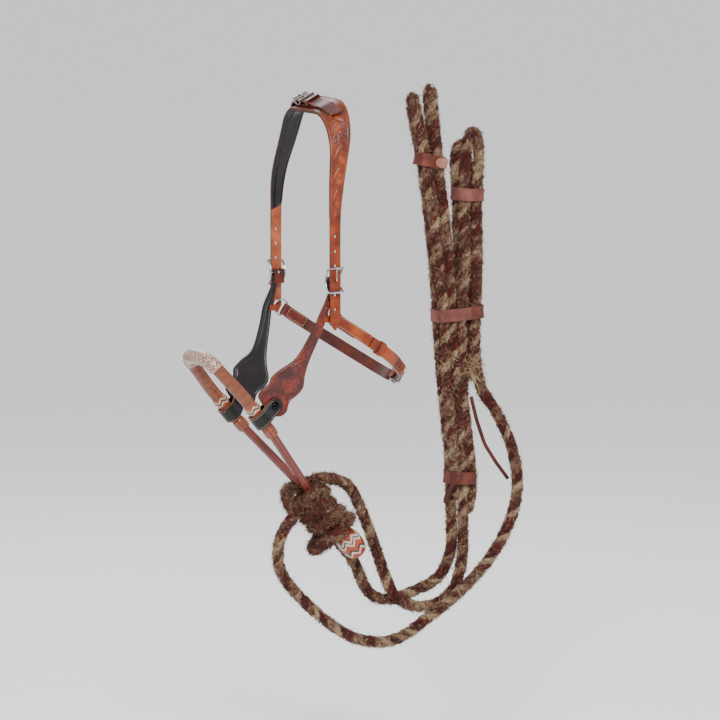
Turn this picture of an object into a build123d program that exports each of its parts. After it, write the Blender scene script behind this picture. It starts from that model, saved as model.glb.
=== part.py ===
"""A western bosal hackamore set: padded hanger headstall, throat strap, braided bosal and hair rope reins.

Millimetres. +Z is up, -X is towards the horse's nose, -Y is the near (left) side. The origin is the highest
point of the crown's underside, where a head or a hook carries the set.
"""

import math
import os

from build123d import *

# Crown arch, drawn in the YZ plane: its inner face. The soft off half leans in more than the near one
ARCH_HALF_WIDTH = 87.0
ARCH_FOOT_Z = -320.0
OFF_SHOULDERS = [(ARCH_HALF_WIDTH, -95.0), (44.0, 0.0)]
NEAR_SHOULDERS = [(-66.0, 0.0), (-ARCH_HALF_WIDTH, -40.0)]
ARCH_RADII = [120.0, 30.0, 45.0, 60.0]
# Over the poll the crown tips forward: it rises this much for each unit towards the rear
POLL_SLOPE = 0.5
CROWN_PAD_THICKNESS = 5.0
LEATHER = 3.0
CROWN_PAD_END_Z = -142.0
STRAP_WIDTH = 16.0
STRAP_MID_X = -12.0
POLL_HALF_WIDTH = 18.0
BILLET_END_Z = {"near": -305.0, "off": -300.0}
HOLE_PITCH = 20.5
HOLE_RADIUS = 1.9

# Cheek pieces
BUCKLE_Z = {"near": -235.0, "off": -240.0}
CHEEK_BUCKLE_HALF_WIDTH = 11.2
CHEEK_BUCKLE_PITCH = 17.0
CHEEK_BUCKLE_RISE = 10.3
CHEEK_BUCKLE_WIRE = 1.5
CHEEK_LINING = 2.6
CHEEK_BOTTOM_Y = 51.5
CHEEK_BEND_Z = (-288.0, -396.0)
CHEEK_BEND_RADII = [60.0, 30.0]
HALF_CHEEK = 2.8
CHAPE_THICKNESS = 2.1
CHAPE_REACH = 5.0
BILLET_CLEARANCE = 0.2

# Rings and throat strap, whose plane falls away behind the rings
RING_X = -8.0
RING_Y = 85.8
RING_Z = -290.0
RING_RADIUS = 11.3
RING_WIRE = 1.5
TAB_HALF_WIDTH = 4.0
THROAT_DROP = math.radians(34.0)
THROAT_LEATHER = 2.7
THROAT_BAR = (163.0, -5.0)
THROAT_BAR_DIR_DEG = 72.0
THROAT_LEAF = 3.85
KEEPER_LENGTH = 9.0

# Bosal: a slanted plane through the nose point, with Y across it
NOSE_X = -180.0
NOSE_Z = -345.0
BOSAL_DROP = math.radians(49.2)
CORE_RADIUS = 4.0
NOSEBAND_RADIUS = 9.0
SHANK_RADIUS = 6.2
NOSE_BUTTON_RADIUS = 10.8
SIDE_BUTTON_RADIUS = 10.8
LOWER_KNOT_RADIUS = 9.6
HEEL_KNOT_RADIUS = 18.0
NOSEBAND_END = 127.0
HEEL_START = 346.0
HEEL_END = 391.0
SHANK_END = 372.0
WRAP_SHIFT = 5.0

# Hanger loops and their screws, on the hinge line of the bosal
HINGE_X = -87.0
HINGE_Z = -412.0
LOOP_WIDTH = 21.0
LOOP_CLEARANCE = 1.2
PIVOT_CLEARANCE = 0.1
POST_RADIUS = 2.5

# Hair rope
ROPE_RADIUS = 8.0
ROPE_FILL = 0.45

PARTS = {}


def side_sign(side):
    return -1 if side == "near" else 1


def add(name, shape):
    PARTS[name] = shape


def band(plane, points, radii, inner, outer, width):
    """A flat strap along points drawn in plane, between two offsets to the right of travel, width wide."""
    path = plane.location * FilletPolyline(*points, radius=radii)
    start = Plane(origin=path @ 0, x_dir=plane.z_dir, z_dir=path % 0)
    section = start.location * Pos(0, (inner + outer) / 2) * Rectangle(width, outer - inner)
    return sweep(section, path=path)


def rod(plane, points, radii, radius):
    """A round wire along points drawn in plane."""
    path = plane.location * FilletPolyline(*points, radius=radii)
    start = Plane(origin=path @ 0, z_dir=path % 0)
    return sweep(start.location * Circle(radius), path=path)


def side_prism(front, rear, side, closed_tip=()):
    """The space inside a side outline: front edge down, tip, rear edge up, from the middle out to one side."""
    edge = Spline(*[(x, z) for x, z in front])
    back = Spline(*[(x, z) for x, z in rear])
    tip = Polyline(edge @ 1, *closed_tip, back @ 0)
    top = Line(back @ 1, edge @ 0)
    face = make_face([edge, tip, back, top])
    reach = 200 * side_sign(side)
    return extrude(Plane.XZ.location * face, amount=-reach)


def through_y(x, z, radius):
    """A cutter for a round hole across the set."""
    return Pos(x, 0, z) * Rot(90, 0, 0) * Cylinder(radius, 400)


ARCH_PLANE = Plane(origin=(0, 0, 0), x_dir=(0, 1, 0), z_dir=(1, 0, 0))
ARCH_POINTS = [(ARCH_HALF_WIDTH, ARCH_FOOT_Z)] + OFF_SHOULDERS + NEAR_SHOULDERS
ARCH_POINTS += [(-ARCH_HALF_WIDTH, ARCH_FOOT_Z)]


def arch_band(inner, outer):
    """A layer of the crown: its profile across the head, run along the slope of the poll."""
    straight = band(ARCH_PLANE, ARCH_POINTS, ARCH_RADII, inner, outer, 10)
    profile = section(straight, section_by=Plane.YZ)
    return extrude(profile, amount=45, dir=Vector(1, 0, POLL_SLOPE), both=True)


def crown_half(side):
    """The carved outer leather with its billet, and the padded lining under it."""
    s = side_sign(side)
    front_x = STRAP_MID_X - STRAP_WIDTH / 2
    rear_x = STRAP_MID_X + STRAP_WIDTH / 2
    end_z = BILLET_END_Z[side]
    front = [(-POLL_HALF_WIDTH, 20), (-18.5, -45), (front_x, -95), (front_x, -140), (front_x, -200)]
    front += [(front_x, end_z + 12)]
    rear = [(rear_x, end_z + 12), (rear_x, -245), (rear_x, -200), (rear_x, -168), (-3.2, -140)]
    rear += [(3, -92), (10, -50), (POLL_HALF_WIDTH, 20)]
    tip = [(STRAP_MID_X - 1, end_z), (STRAP_MID_X + 1, end_z)]
    prism = side_prism(front, rear, side, tip)
    half = Pos(0, s * 101, -150) * Box(80, 200, 400)
    outer = arch_band(CROWN_PAD_THICKNESS, CROWN_PAD_THICKNESS + LEATHER) & prism & half
    first_hole = BUCKLE_Z[side] - 2 * HOLE_PITCH
    for k in range(6):
        outer -= through_y(STRAP_MID_X, first_hole + k * HOLE_PITCH, HOLE_RADIUS)
    above_end = Pos(0, 0, 100 + CROWN_PAD_END_Z) * Box(200, 400, 200)
    lining = arch_band(0, CROWN_PAD_THICKNESS) & prism & half & above_end
    add(side + "_crown_outer", outer)
    add(side + "_crown_pad", lining)


def buckle_frame(half_width, pitch, rise, wire):
    """A bowed three-bar buckle. Local X along the bars, Y out of the strap, Z towards the incoming billet."""
    rail = ThreePointArc((0, rise, pitch), (0, 0, 0), (0, rise, -pitch))
    profile = Plane(origin=rail @ 0, z_dir=rail % 0).location * Circle(wire)
    one_rail = sweep(profile, path=rail)
    frame = Pos(half_width, 0, 0) * one_rail + Pos(-half_width, 0, 0) * one_rail
    for y, z in ((rise, pitch), (rise, -pitch), (0, 0)):
        frame += Pos(0, y, z) * Rot(0, 90, 0) * Cylinder(wire, 2 * half_width)
    for x in (-half_width, half_width):
        for z in (-pitch, pitch):
            frame += Pos(x, rise, z) * Sphere(wire)
    return frame


def buckle_tongue(pitch, rise, wire, radius):
    """The tongue: an eye round the middle bar, a shank through the billet's hole, resting on the end bar."""
    eye = Rot(0, 90, 0) * (Cylinder(wire + 1.5, 3) - Cylinder(wire + PIVOT_CLEARANCE, 3))
    over = rise + wire + radius
    plane = Plane(origin=(0, 0, 0), x_dir=(0, 1, 0), z_dir=(1, 0, 0))
    shank = rod(plane, [(wire + 1, 0), (over - 1.2, 0), (over + 0.4, pitch + 2.5)], [radius + 0.4], radius)
    return eye + shank


def cheek_plane_path(side):
    """The cheek's mid-line in the arch plane, from the buckle down to the hanger screw."""
    s = side_sign(side)
    top_y = ARCH_HALF_WIDTH + CROWN_PAD_THICKNESS - CHAPE_REACH - BILLET_CLEARANCE
    top = (s * top_y, BUCKLE_Z[side] - 4.2)
    points = [top, (s * top_y, CHEEK_BEND_Z[0]), (s * CHEEK_BOTTOM_Y, CHEEK_BEND_Z[1]), (s * CHEEK_BOTTOM_Y, -450)]
    return points, s


def cheek_band(side, inner, outer):
    points, s = cheek_plane_path(side)
    # Travel is downwards: on the off side the outside of the set is on the left hand, on the near side the right
    low, high = (inner, outer) if s < 0 else (-outer, -inner)
    return band(ARCH_PLANE, points, CHEEK_BEND_RADII, low, high, 240)


def cheek(side):
    """Tooled outer leather over a black padded lining, in one scalloped outline."""
    front = [(-20, -225), (-20.3, -251), (-25.3, -265), (-35, -285), (-46, -314), (-62, -345), (-82, -359)]
    front += [(-95, -370), (-98, -380)]
    front += [(-109, -390), (-112, -398.5), (-105, -410)]
    rear = [(-79, -429), (-68, -422), (-63, -408), (-50, -398), (-43, -387), (-43, -370), (-40, -350)]
    rear += [(-31, -320), (-23, -292), (-15, -262), (-4, -225)]
    prism = side_prism(front, rear, side, [(-97, -423.5), (-89, -427)])
    prism -= through_y(HINGE_X, HINGE_Z, POST_RADIUS + PIVOT_CLEARANCE)
    split = CHEEK_LINING - HALF_CHEEK
    outer = cheek_band(side, split, HALF_CHEEK) & prism
    lining = cheek_band(side, -HALF_CHEEK, split) & prism
    add(side + "_cheek_outer", outer)
    add(side + "_cheek_lining", lining)
    return outer + lining


def cheek_chape(side):
    """The leather fold that holds the buckle's middle bar to the top of the cheek."""
    points, s = cheek_plane_path(side)
    y0 = points[0][0]
    z0 = BUCKLE_Z[side]
    mid = CHAPE_REACH - CHAPE_THICKNESS / 2
    inner_end = (y0 - s * mid, z0 - 15)
    outer_end = (y0 + s * mid, z0 - 14)
    fold = [inner_end, (y0 - s * mid, z0 + mid), (y0 + s * mid, z0 + mid), outer_end]
    half = CHAPE_THICKNESS / 2
    loop = band(ARCH_PLANE, fold, [mid - 0.05] * 2, -half, half, STRAP_WIDTH - 1)
    slot = Pos(0, y0, z0 + 1) * Box(4, 14, 8)
    add(side + "_buckle_chape", Pos(STRAP_MID_X, 0, 0) * (loop - slot))


def cheek_buckle(side):
    points, s = cheek_plane_path(side)
    place = Plane(origin=(STRAP_MID_X, points[0][0], BUCKLE_Z[side]), x_dir=(s, 0, 0), z_dir=(0, 0, 1))
    pitch, rise, wire = CHEEK_BUCKLE_PITCH, CHEEK_BUCKLE_RISE, CHEEK_BUCKLE_WIRE
    frame = buckle_frame(CHEEK_BUCKLE_HALF_WIDTH, pitch, rise, wire)
    add(side + "_cheek_buckle", place.location * frame)
    add(side + "_cheek_buckle_tongue", place.location * buckle_tongue(pitch, rise, wire, 1.1))


def ring_and_tab(side, cheek_solid):
    """The throat strap's ring and the leather tab that ties it to the cheek's rear edge."""
    s = side_sign(side)
    add(side + "_ring", Pos(RING_X, s * RING_Y, RING_Z) * Rot(90, 0, 0) * Torus(RING_RADIUS, RING_WIRE))
    thickness = 2.0
    gap = 1.9
    outer = gap + thickness
    blank = Pos(-4.5, 0) * Rectangle(9, 2 * outer) + Circle(outer)
    hole = Pos(-5, 0) * Rectangle(10, 2 * gap) + Circle(gap)
    tab = extrude(blank - hole, amount=TAB_HALF_WIDTH, both=True)
    tab = Pos(RING_X - RING_RADIUS + 0.8, s * RING_Y, RING_Z) * tab
    add(side + "_ring_tab", tab - cheek_solid)


THROAT_PLANE = Plane(
    origin=(RING_X, 0, RING_Z),
    x_dir=(math.cos(THROAT_DROP), 0, -math.sin(THROAT_DROP)),
    z_dir=(math.sin(THROAT_DROP), 0, math.cos(THROAT_DROP)),
)
RING_FOLD = 4.3
RING_LEAF = 3.3


def bar_point(along, out):
    """A point near the throat buckle's middle bar, along the strap and out of it."""
    a = math.radians(THROAT_BAR_DIR_DEG)
    t, y = THROAT_BAR
    return t + along * math.cos(a) + out * math.sin(a), y + along * math.sin(a) - out * math.cos(a)


def throat_run():
    """The straight runs of the buckle strap from the near ring to the buckle's bar."""
    return [(52, -98), (108, -88), (150.5, -46.5), bar_point(THROAT_LEAF, THROAT_LEAF)]


def beside(before, corner, after, distance):
    """The corner of a run laid parallel to another, at a distance to its right."""
    run_in = (Vector(*corner) - Vector(*before)).normalized()
    run_out = (Vector(*after) - Vector(*corner)).normalized()
    across = Vector(run_in.Y + run_out.Y, -run_in.X - run_out.X) * (distance / (1 + run_in.dot(run_out)))
    return corner[0] + across.X, corner[1] + across.Y


def throat_near_strap():
    """The buckle strap: folded round the near ring at one end and round the buckle's bar at the other."""
    fold = THROAT_LEAF
    points = [(40, -RING_Y + RING_LEAF - 4), (16, -RING_Y + RING_LEAF), (RING_FOLD, -RING_Y + RING_LEAF)]
    points += [(RING_FOLD, -RING_Y - RING_LEAF), (16, -RING_Y - RING_LEAF)]
    points += throat_run() + [bar_point(fold, -fold), bar_point(-24, -fold)]
    radii = [30, 3, 3, 30, 40, 40, 50, fold - 0.3, fold - 0.3]
    half = THROAT_LEATHER / 2
    strap = band(THROAT_PLANE, points, radii, -half, half, STRAP_WIDTH)
    slot = THROAT_PLANE.location * Pos(*bar_point(0, 0), 0) * Rot(0, 0, THROAT_BAR_DIR_DEG) * Box(13, 14, 4)
    add("throat_buckle_strap", strap - slot)


def throat_billet():
    """The billet: folded round the off ring, through the buckle, and back over the buckle strap to its tip."""
    out = THROAT_LEATHER + BILLET_CLEARANCE
    start, first, second, bar = throat_run()
    first_beside = beside(start, first, second, out)
    tip = (62, first_beside[1] - (first_beside[0] - 62) * (first[1] - start[1]) / (first[0] - start[0]))
    points = [tip, first_beside, beside(first, second, bar, out + 0.2)]
    points += [bar_point(-6, THROAT_LEAF + out), bar_point(12, THROAT_LEAF + out)]
    points += [(181, 34), (164, 45), (26, RING_Y + RING_LEAF), (RING_FOLD, RING_Y + RING_LEAF)]
    points += [(RING_FOLD, RING_Y - RING_LEAF), (20, RING_Y - RING_LEAF), (44, RING_Y - RING_LEAF - 3)]
    radii = [42, 50, 60, 16, 10, 60, 30, 3, 3, 40]
    half = THROAT_LEATHER / 2
    strap = band(THROAT_PLANE, points, radii, -half, half, STRAP_WIDTH)
    tongue_hole = Pos(*bar_point(0, 7), 0) * Rot(0, 0, THROAT_BAR_DIR_DEG) * Rot(90, 0, 0)
    strap -= THROAT_PLANE.location * tongue_hole * Cylinder(HOLE_RADIUS, 12)
    slope = math.degrees(math.atan2(points[2][1] - points[1][1], points[2][0] - points[1][0]))
    run_start = THROAT_PLANE.location * Pos(*points[1], 0) * Rot(0, 0, slope)
    for k in range(3):
        strap -= run_start * Pos(18 + 15 * k, 0, 0) * Rot(90, 0, 0) * Cylinder(HOLE_RADIUS, 8)
    add("throat_billet", strap)


def throat_buckle():
    a = math.radians(THROAT_BAR_DIR_DEG)
    centre = THROAT_PLANE.location * Pos(*THROAT_BAR, 0)
    place = centre * Location(Plane(origin=(0, 0, 0), x_dir=(0, 0, 1), z_dir=(math.cos(a), math.sin(a), 0)))
    add("throat_buckle", place * buckle_frame(10.6, 13, 10.2, 1.4))
    add("throat_buckle_tongue", place * buckle_tongue(13, 10.2, 1.4, 1.1))


def throat_keeper():
    """The leather loop that holds the billet's tip down, free to slide on the straight of the strap."""
    direction = math.atan2(10, 56)
    along = 28.0
    out = (THROAT_LEATHER + BILLET_CLEARANCE) / 2
    t = 52 + along * math.cos(direction) + out * math.sin(direction)
    y = -98 + along * math.sin(direction) - out * math.cos(direction)
    stack = 2 * THROAT_LEATHER + BILLET_CLEARANCE
    gap = 0.4
    wall = 1.8
    shell = Box(KEEPER_LENGTH, stack + 2 * (gap + wall), STRAP_WIDTH + 2 * (gap + wall))
    shell = fillet(shell.edges().filter_by(Axis.X), 2.0)
    hole = Box(KEEPER_LENGTH + 2, stack + 2 * gap, STRAP_WIDTH + 2 * gap)
    place = THROAT_PLANE.location * Pos(t, y, 0) * Rot(0, 0, math.degrees(direction))
    add("throat_keeper", place * (shell - hole))


def poll_strap():
    """Buckle, chape, billet and keeper that join the two halves of the crown, lying on the slope of the poll."""
    tilt = math.atan(POLL_SLOPE)
    lean = Rot(0, -math.degrees(tilt), 0)
    top = (CROWN_PAD_THICKNESS + LEATHER) * math.cos(tilt) + BILLET_CLEARANCE
    leaf = 1.8
    reach = 3.4
    bar_y = 14.0
    bar_z = top + reach
    mid = reach - leaf / 2
    low = top + leaf / 2
    fold = [(-30, low), (bar_y + mid, low), (bar_y + mid, bar_z + mid), (-2, bar_z + mid)]
    chape = band(ARCH_PLANE, fold, [mid - 0.05] * 2, -leaf / 2, leaf / 2, 15)
    chape -= Pos(0, bar_y + 1, bar_z) * Box(4, 9, 9)
    add("poll_chape", lean * chape)
    thick = 2.4
    over = bar_z + reach + BILLET_CLEARANCE + thick / 2
    tip = (-80, -2.5)
    tip_slope = 20.8
    run = [(64, -16), (47, 8), (24, over), (-8, over), (-32, 10.4), (-50, 8.9), tip]
    billet = band(ARCH_PLANE, run, [40, 30, 40, 20, 28], -thick / 2, thick / 2, 18)
    billet -= Pos(0, bar_y, over) * Cylinder(HOLE_RADIUS, 12)
    billet -= Pos(0, *tip) * Rot(tip_slope, 0, 0) * (Box(40, 20, 40) - Pos(0, 10, 0) * Cylinder(9, 60))
    add("poll_billet", lean * billet)
    place = lean * Plane(origin=(0, bar_y, bar_z), x_dir=(-1, 0, 0), z_dir=(0, 1, 0)).location
    pitch = 11.0
    wire = 1.3
    rise = reach + BILLET_CLEARANCE + thick + 0.2 + wire
    add("poll_buckle", place * buckle_frame(11.4, pitch, rise, wire))
    add("poll_buckle_tongue", place * buckle_tongue(pitch, rise, wire, 1.0))
    shell = Box(22.4, 7, 8.6)
    keeper = fillet(shell.edges().filter_by(Axis.Y), 1.5) - Box(19, 9, 5.8)
    add("poll_keeper", lean * Pos(0, -12.5, bar_z + 2.9) * keeper)


BOSAL_PLANE = Plane(
    origin=(NOSE_X, 0, NOSE_Z),
    x_dir=(math.cos(BOSAL_DROP), 0, -math.sin(BOSAL_DROP)),
    z_dir=(math.sin(BOSAL_DROP), 0, math.cos(BOSAL_DROP)),
)
BOSAL_HALF = [(SHANK_END, 7.2), (250, 9.2), (140, 46), (70, 53), (-1.5, 37)]
BOSAL_RADII = [120, 150, 80, 29]


def bosal_path():
    """The bosal's centre line: near shank, round the nose, off shank."""
    near = [(d, -y) for d, y in BOSAL_HALF]
    points = near + [(d, y) for d, y in reversed(BOSAL_HALF)]
    return BOSAL_PLANE.location * FilletPolyline(*points, radius=BOSAL_RADII + BOSAL_RADII[::-1])


def bosal_section(path, outer, inner):
    start = Plane(origin=path @ 0, z_dir=path % 0)
    tube = sweep(start.location * Circle(outer), path=path)
    if inner:
        tube -= sweep(start.location * Circle(inner), path=path)
    return tube


def bosal_cut(d_low, d_high, y_low=-100, y_high=100):
    """The slab of the bosal's plane between two distances from the nose."""
    block = Box(d_high - d_low, y_high - y_low, 80)
    return BOSAL_PLANE.location * Pos((d_low + d_high) / 2, (y_low + y_high) / 2, 0) * block


def heel_knot_shape():
    """The heel knot as a barrel turned about the bosal's axis."""
    length = HEEL_END - HEEL_START
    r = HEEL_KNOT_RADIUS
    profile = Polyline((0, 0), (0, 0.62 * r)) + Spline(
        (0, 0.62 * r), (0.25 * length, 0.95 * r), (0.55 * length, r), (0.85 * length, 0.82 * r), (length, 0.45 * r)
    )
    profile += Polyline((length, 0.45 * r), (length, 0), (0, 0))
    turned = revolve(make_face(profile), axis=Axis.X)
    return BOSAL_PLANE.location * Pos(HEEL_START, 0, 0) * turned


def bosal():
    path = bosal_path()
    core = bosal_section(path, CORE_RADIUS, 0)
    add("bosal_core", core)
    noseband = bosal_section(path, NOSEBAND_RADIUS, CORE_RADIUS)
    add("bosal_noseband", noseband & bosal_cut(-20, NOSEBAND_END))
    shanks = bosal_section(path, SHANK_RADIUS, CORE_RADIUS)
    thick = bosal_section(path, NOSE_BUTTON_RADIUS, NOSEBAND_RADIUS)
    add("nose_button", thick & bosal_cut(-20, 17))
    for side in ("near", "off"):
        s = side_sign(side)
        y_low, y_high = sorted((0, s * 100))
        add(side + "_shank", shanks & bosal_cut(NOSEBAND_END, SHANK_END, y_low, y_high))
        button = bosal_section(path, SIDE_BUTTON_RADIUS, NOSEBAND_RADIUS)
        add(side + "_side_button", button & bosal_cut(85, 98.5, y_low, y_high))
        knot = bosal_section(path, LOWER_KNOT_RADIUS, SHANK_RADIUS)
        add(side + "_lower_knot", knot & bosal_cut(NOSEBAND_END, 146, y_low, y_high))
    for_heel = bosal_section(path, SHANK_RADIUS, 0)
    add("heel_knot", heel_knot_shape() - for_heel)
    return for_heel


# How far the hinge line stands off the bosal's centre line, and the branch's half-spread there
BRANCH_REACH = (HINGE_X - NOSE_X) * math.sin(BOSAL_DROP) + (HINGE_Z - NOSE_Z) * math.cos(BOSAL_DROP)
BRANCH_Y = 48.9
LOOP_GAP = 0.4
LOOP_PLANE = Plane(
    origin=(HINGE_X, 0, HINGE_Z),
    x_dir=-BOSAL_PLANE.z_dir,
    z_dir=BOSAL_PLANE.x_dir,
)


def hanger_loop(side):
    """The black leather loop that straddles the cheek at its screw and carries one side of the bosal."""
    s = side_sign(side)
    turn = NOSEBAND_RADIUS + LOOP_CLEARANCE + LEATHER / 2
    leaf = HALF_CHEEK + LOOP_GAP + LEATHER / 2
    end = -LOOP_WIDTH / 2
    inner_y = CHEEK_BOTTOM_Y - leaf
    outer_y = CHEEK_BOTTOM_Y + leaf
    low_y = BRANCH_Y - turn
    high_y = BRANCH_Y + turn
    far = BRANCH_REACH + turn
    points = [(end, inner_y), (9, inner_y), (20, low_y), (far, low_y)]
    points += [(far, high_y), (20, high_y), (9, outer_y), (end, outer_y)]
    points = [(e, s * y) for e, y in points]
    loop = band(LOOP_PLANE, points, [8, 8, turn - 0.1, turn - 0.1, 8, 8], -LEATHER / 2, LEATHER / 2, LOOP_WIDTH)
    round_end = Rot(90, 0, 0) * Cylinder(LOOP_WIDTH / 2, 300) + Pos(30, 0, 0) * Box(60, 300, 60)
    loop = loop & (LOOP_PLANE.location * round_end)
    loop -= through_y(HINGE_X, HINGE_Z, POST_RADIUS)
    add(side + "_hanger_loop", loop)


def hanger_screw(side):
    """A domed post through both leaves of the loop and the cheek, with a flat cap on the horse's side."""
    s = side_sign(side)
    outer_face = CHEEK_BOTTOM_Y + HALF_CHEEK + LOOP_GAP + LEATHER
    inner_face = CHEEK_BOTTOM_Y - HALF_CHEEK - LOOP_GAP - LEATHER
    length = outer_face - inner_face
    post = Pos(0, 0, (outer_face + inner_face) / 2) * Cylinder(POST_RADIUS, length)
    dome = Pos(0, 0, outer_face - 4.2) * Sphere(7.4) & Pos(0, 0, outer_face + 5) * Cylinder(9, 10)
    cap = Pos(0, 0, inner_face - 0.8) * Cylinder(5.2, 1.6)
    place = Location(Plane(origin=(HINGE_X, 0, HINGE_Z), x_dir=(1, 0, 0), z_dir=(0, s, 0)))
    add(side + "_hanger_screw", place * (post + dome))
    add(side + "_screw_cap", place * cap)


def mecate_wraps(shank_space):
    """The rope wound round both shanks above the heel knot, as the outer shape of its turns."""
    swell = Spline((252, 20), (268, 29), (300, 31), (328, 31), (344, 23))
    profile = Polyline((252, 0), (252, 20)) + swell + Polyline((344, 23), (344, 0), (252, 0))
    turned = revolve(make_face(profile), axis=Axis.X)
    body = BOSAL_PLANE.location * Pos(0, 0, -WRAP_SHIFT) * turned
    add("mecate_wraps", body - shank_space)


def rope_tube(name, points):
    """One free stretch of rope: straight runs joined by arcs as large as the runs allow."""
    vectors = [Vector(*p) for p in points]
    radii = []
    for before, here, after in zip(vectors, vectors[1:], vectors[2:]):
        run_in, run_out = here - before, after - here
        half_turn = math.radians(run_in.get_angle(run_out)) / 2
        radii.append(ROPE_FILL * min(run_in.length, run_out.length) / math.tan(half_turn))
    path = FilletPolyline(*points, radius=radii)
    start = Plane(origin=path @ 0, z_dir=path % 0)
    tube = sweep(start.location * Circle(ROPE_RADIUS), path=path)
    expected = math.pi * ROPE_RADIUS**2 * path.length
    print(name, "length", round(path.length), "radii", [round(r) for r in radii], round(tube.volume / expected, 4))
    add(name, tube)


# Routes of the free rope between the wraps and the hank
REIN_LEFT = [(-31, -8, -575), (-51, -10, -593), (-63, -12, -620), (-60, -14, -657), (-27, -16, -696)]
REIN_LEFT += [(20, -20, -738), (66, -24, -763), (118, -28, -766), (168, -30, -735), (225, -30, -698)]
REIN_LEFT += [(284, -27, -644), (320, -23, -572), (316, -18, -508), (290, -12, -446), (260, -5, -418)]
REIN_RETURN = [(18.5, -6, -526), (37, -7, -530), (55, -8, -540), (69, -8, -566), (89, -9, -614)]
REIN_RETURN += [(108, -11, -671), (125, -12, -709), (173, -11, -725), (217, -8, -710), (233, -8, -674)]
REIN_RETURN += [(237, -8, -640), (236, -8, -606.3)]
LEAD = [(44.8, 25.4, -613.6), (62, 27, -632), (80, 26, -656), (92, 22, -691), (107, 16, -708)]
LEAD += [(130, 11, -712), (162, 9, -702), (203, 7, -688), (221, 7, -660), (227, 7, -633), (226, 8, -606.3)]

# The hank, as columns of ellipses: x, z, half width, half depth
PRONGS = ([(158, 16, 5, 5), (162, -10, 9, 9), (176, -60, 10, 10)], [(186, 28, 6, 6), (188, 5, 9.5, 9), (191, -60, 10, 10)])
LEFT_COLUMN = [(183, -52, 18, 11), (187, -82, 18.5, 12), (194, -140, 22, 14), (203, -230, 21.5, 14), (212, -290, 20, 15)]
RIGHT_COLUMN = [(247, -37, 13, 9), (247, -60, 23, 16), (247, -110, 21, 16), (246, -132, 20, 15), (247, -190, 22, 17)]
RIGHT_COLUMN += [(248, -250, 21.5, 17), (252, -290, 19, 17)]
TRUNK = [(232, -290.2, 38, 18), (231, -330, 36, 20), (229, -370, 34, 20), (229, -430, 27, 19), (234, -500, 21, 18)]
TRUNK += [(236, -553, 18.5, 16)]
FOOT = [(236, -553.2, 18.5, 16), (242, -575, 21, 16), (237, -594, 20, 16), (231, -606, 18, 16)]
TIE_WIDTH = 18.0
POPPER = [(247, -12.5, -422), (254, -16, -455), (268, -15, -492), (287, -15, -520), (306, -15, -544)]


def hank_solid(sections):
    """A closed tapering column through ellipses, one above another."""
    return loft([Pos(x, 0, z) * Ellipse(a, b) for x, z, a, b in sections])


def hank():
    """The gathered rope: two columns above the wide tie, the trunk and the foot below it."""
    left = hank_solid(LEFT_COLUMN)
    for prong in PRONGS:
        left += hank_solid(prong)
    columns = {
        "mecate_hank_left": left,
        "mecate_hank_right": hank_solid(RIGHT_COLUMN) - left,
        "mecate_hank_trunk": hank_solid(TRUNK),
        "mecate_hank_foot": hank_solid(FOOT),
    }
    for name, solid in columns.items():
        add(name, solid)
    tie("tie_left", left, 187, -82, 21, 15, 12)
    tie("tie_right", columns["mecate_hank_right"], 246, -132, 23, 18.5, 4)
    tie("tie_wide", columns["mecate_hank_trunk"], 232, -302, 41, 22, -3)
    tie("tie_low", columns["mecate_hank_trunk"], 235, -539, 22.5, 20, 3)


def tie(name, rope, x, z, half_width, half_depth, tilt):
    """A flat leather strap round a column of the hank."""
    block = Pos(x, 0, z) * Rot(0, tilt, 0) * extrude(Ellipse(half_width, half_depth), amount=TIE_WIDTH / 2, both=True)
    add(name, block - rope)


def popper():
    """The thin leather thong on the free end of the lead."""
    path = FilletPolyline(*POPPER, radius=60)
    start = Plane(origin=path @ 0, x_dir=(1, 0, 0), z_dir=path % 0)
    add("mecate_popper", sweep(start.location * Rectangle(5, 2), path=path))


def main():
    for side in ("near", "off"):
        crown_half(side)
        cheek_solid = cheek(side)
        cheek_chape(side)
        cheek_buckle(side)
        ring_and_tab(side, cheek_solid)
        hanger_loop(side)
        hanger_screw(side)
    throat_near_strap()
    throat_billet()
    throat_buckle()
    throat_keeper()
    poll_strap()
    mecate_wraps(bosal())
    rope_tube("mecate_rein_left", REIN_LEFT)
    rope_tube("mecate_rein_return", REIN_RETURN)
    rope_tube("mecate_lead", LEAD)
    hank()
    popper()
    os.makedirs("parts", exist_ok=True)
    for name, shape in PARTS.items():
        export_step(shape, f"parts/{name}.step")


main()
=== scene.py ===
"""The look of the bosal hackamore set: twisted hair rope, braided rawhide, tooled and padded leather."""

from math import acos, cos, hypot, pi, radians, sin, tan

import bmesh
import bpy
import numpy as np
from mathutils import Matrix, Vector


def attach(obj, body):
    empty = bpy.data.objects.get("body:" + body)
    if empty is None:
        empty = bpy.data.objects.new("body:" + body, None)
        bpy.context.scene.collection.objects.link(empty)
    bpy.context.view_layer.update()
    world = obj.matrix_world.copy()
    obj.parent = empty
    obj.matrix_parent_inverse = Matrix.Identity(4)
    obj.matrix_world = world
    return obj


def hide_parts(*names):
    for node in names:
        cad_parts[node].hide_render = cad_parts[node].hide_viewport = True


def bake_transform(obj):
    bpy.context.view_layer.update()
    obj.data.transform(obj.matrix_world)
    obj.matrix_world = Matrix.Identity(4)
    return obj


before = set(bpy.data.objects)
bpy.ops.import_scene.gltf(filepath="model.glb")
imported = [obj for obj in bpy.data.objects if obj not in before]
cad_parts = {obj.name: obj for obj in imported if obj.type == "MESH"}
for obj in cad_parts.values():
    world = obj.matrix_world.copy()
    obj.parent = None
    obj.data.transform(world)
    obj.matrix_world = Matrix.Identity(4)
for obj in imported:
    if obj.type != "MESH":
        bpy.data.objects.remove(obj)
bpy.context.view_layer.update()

MM = 0.001
SIDES = ("near", "off")

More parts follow.
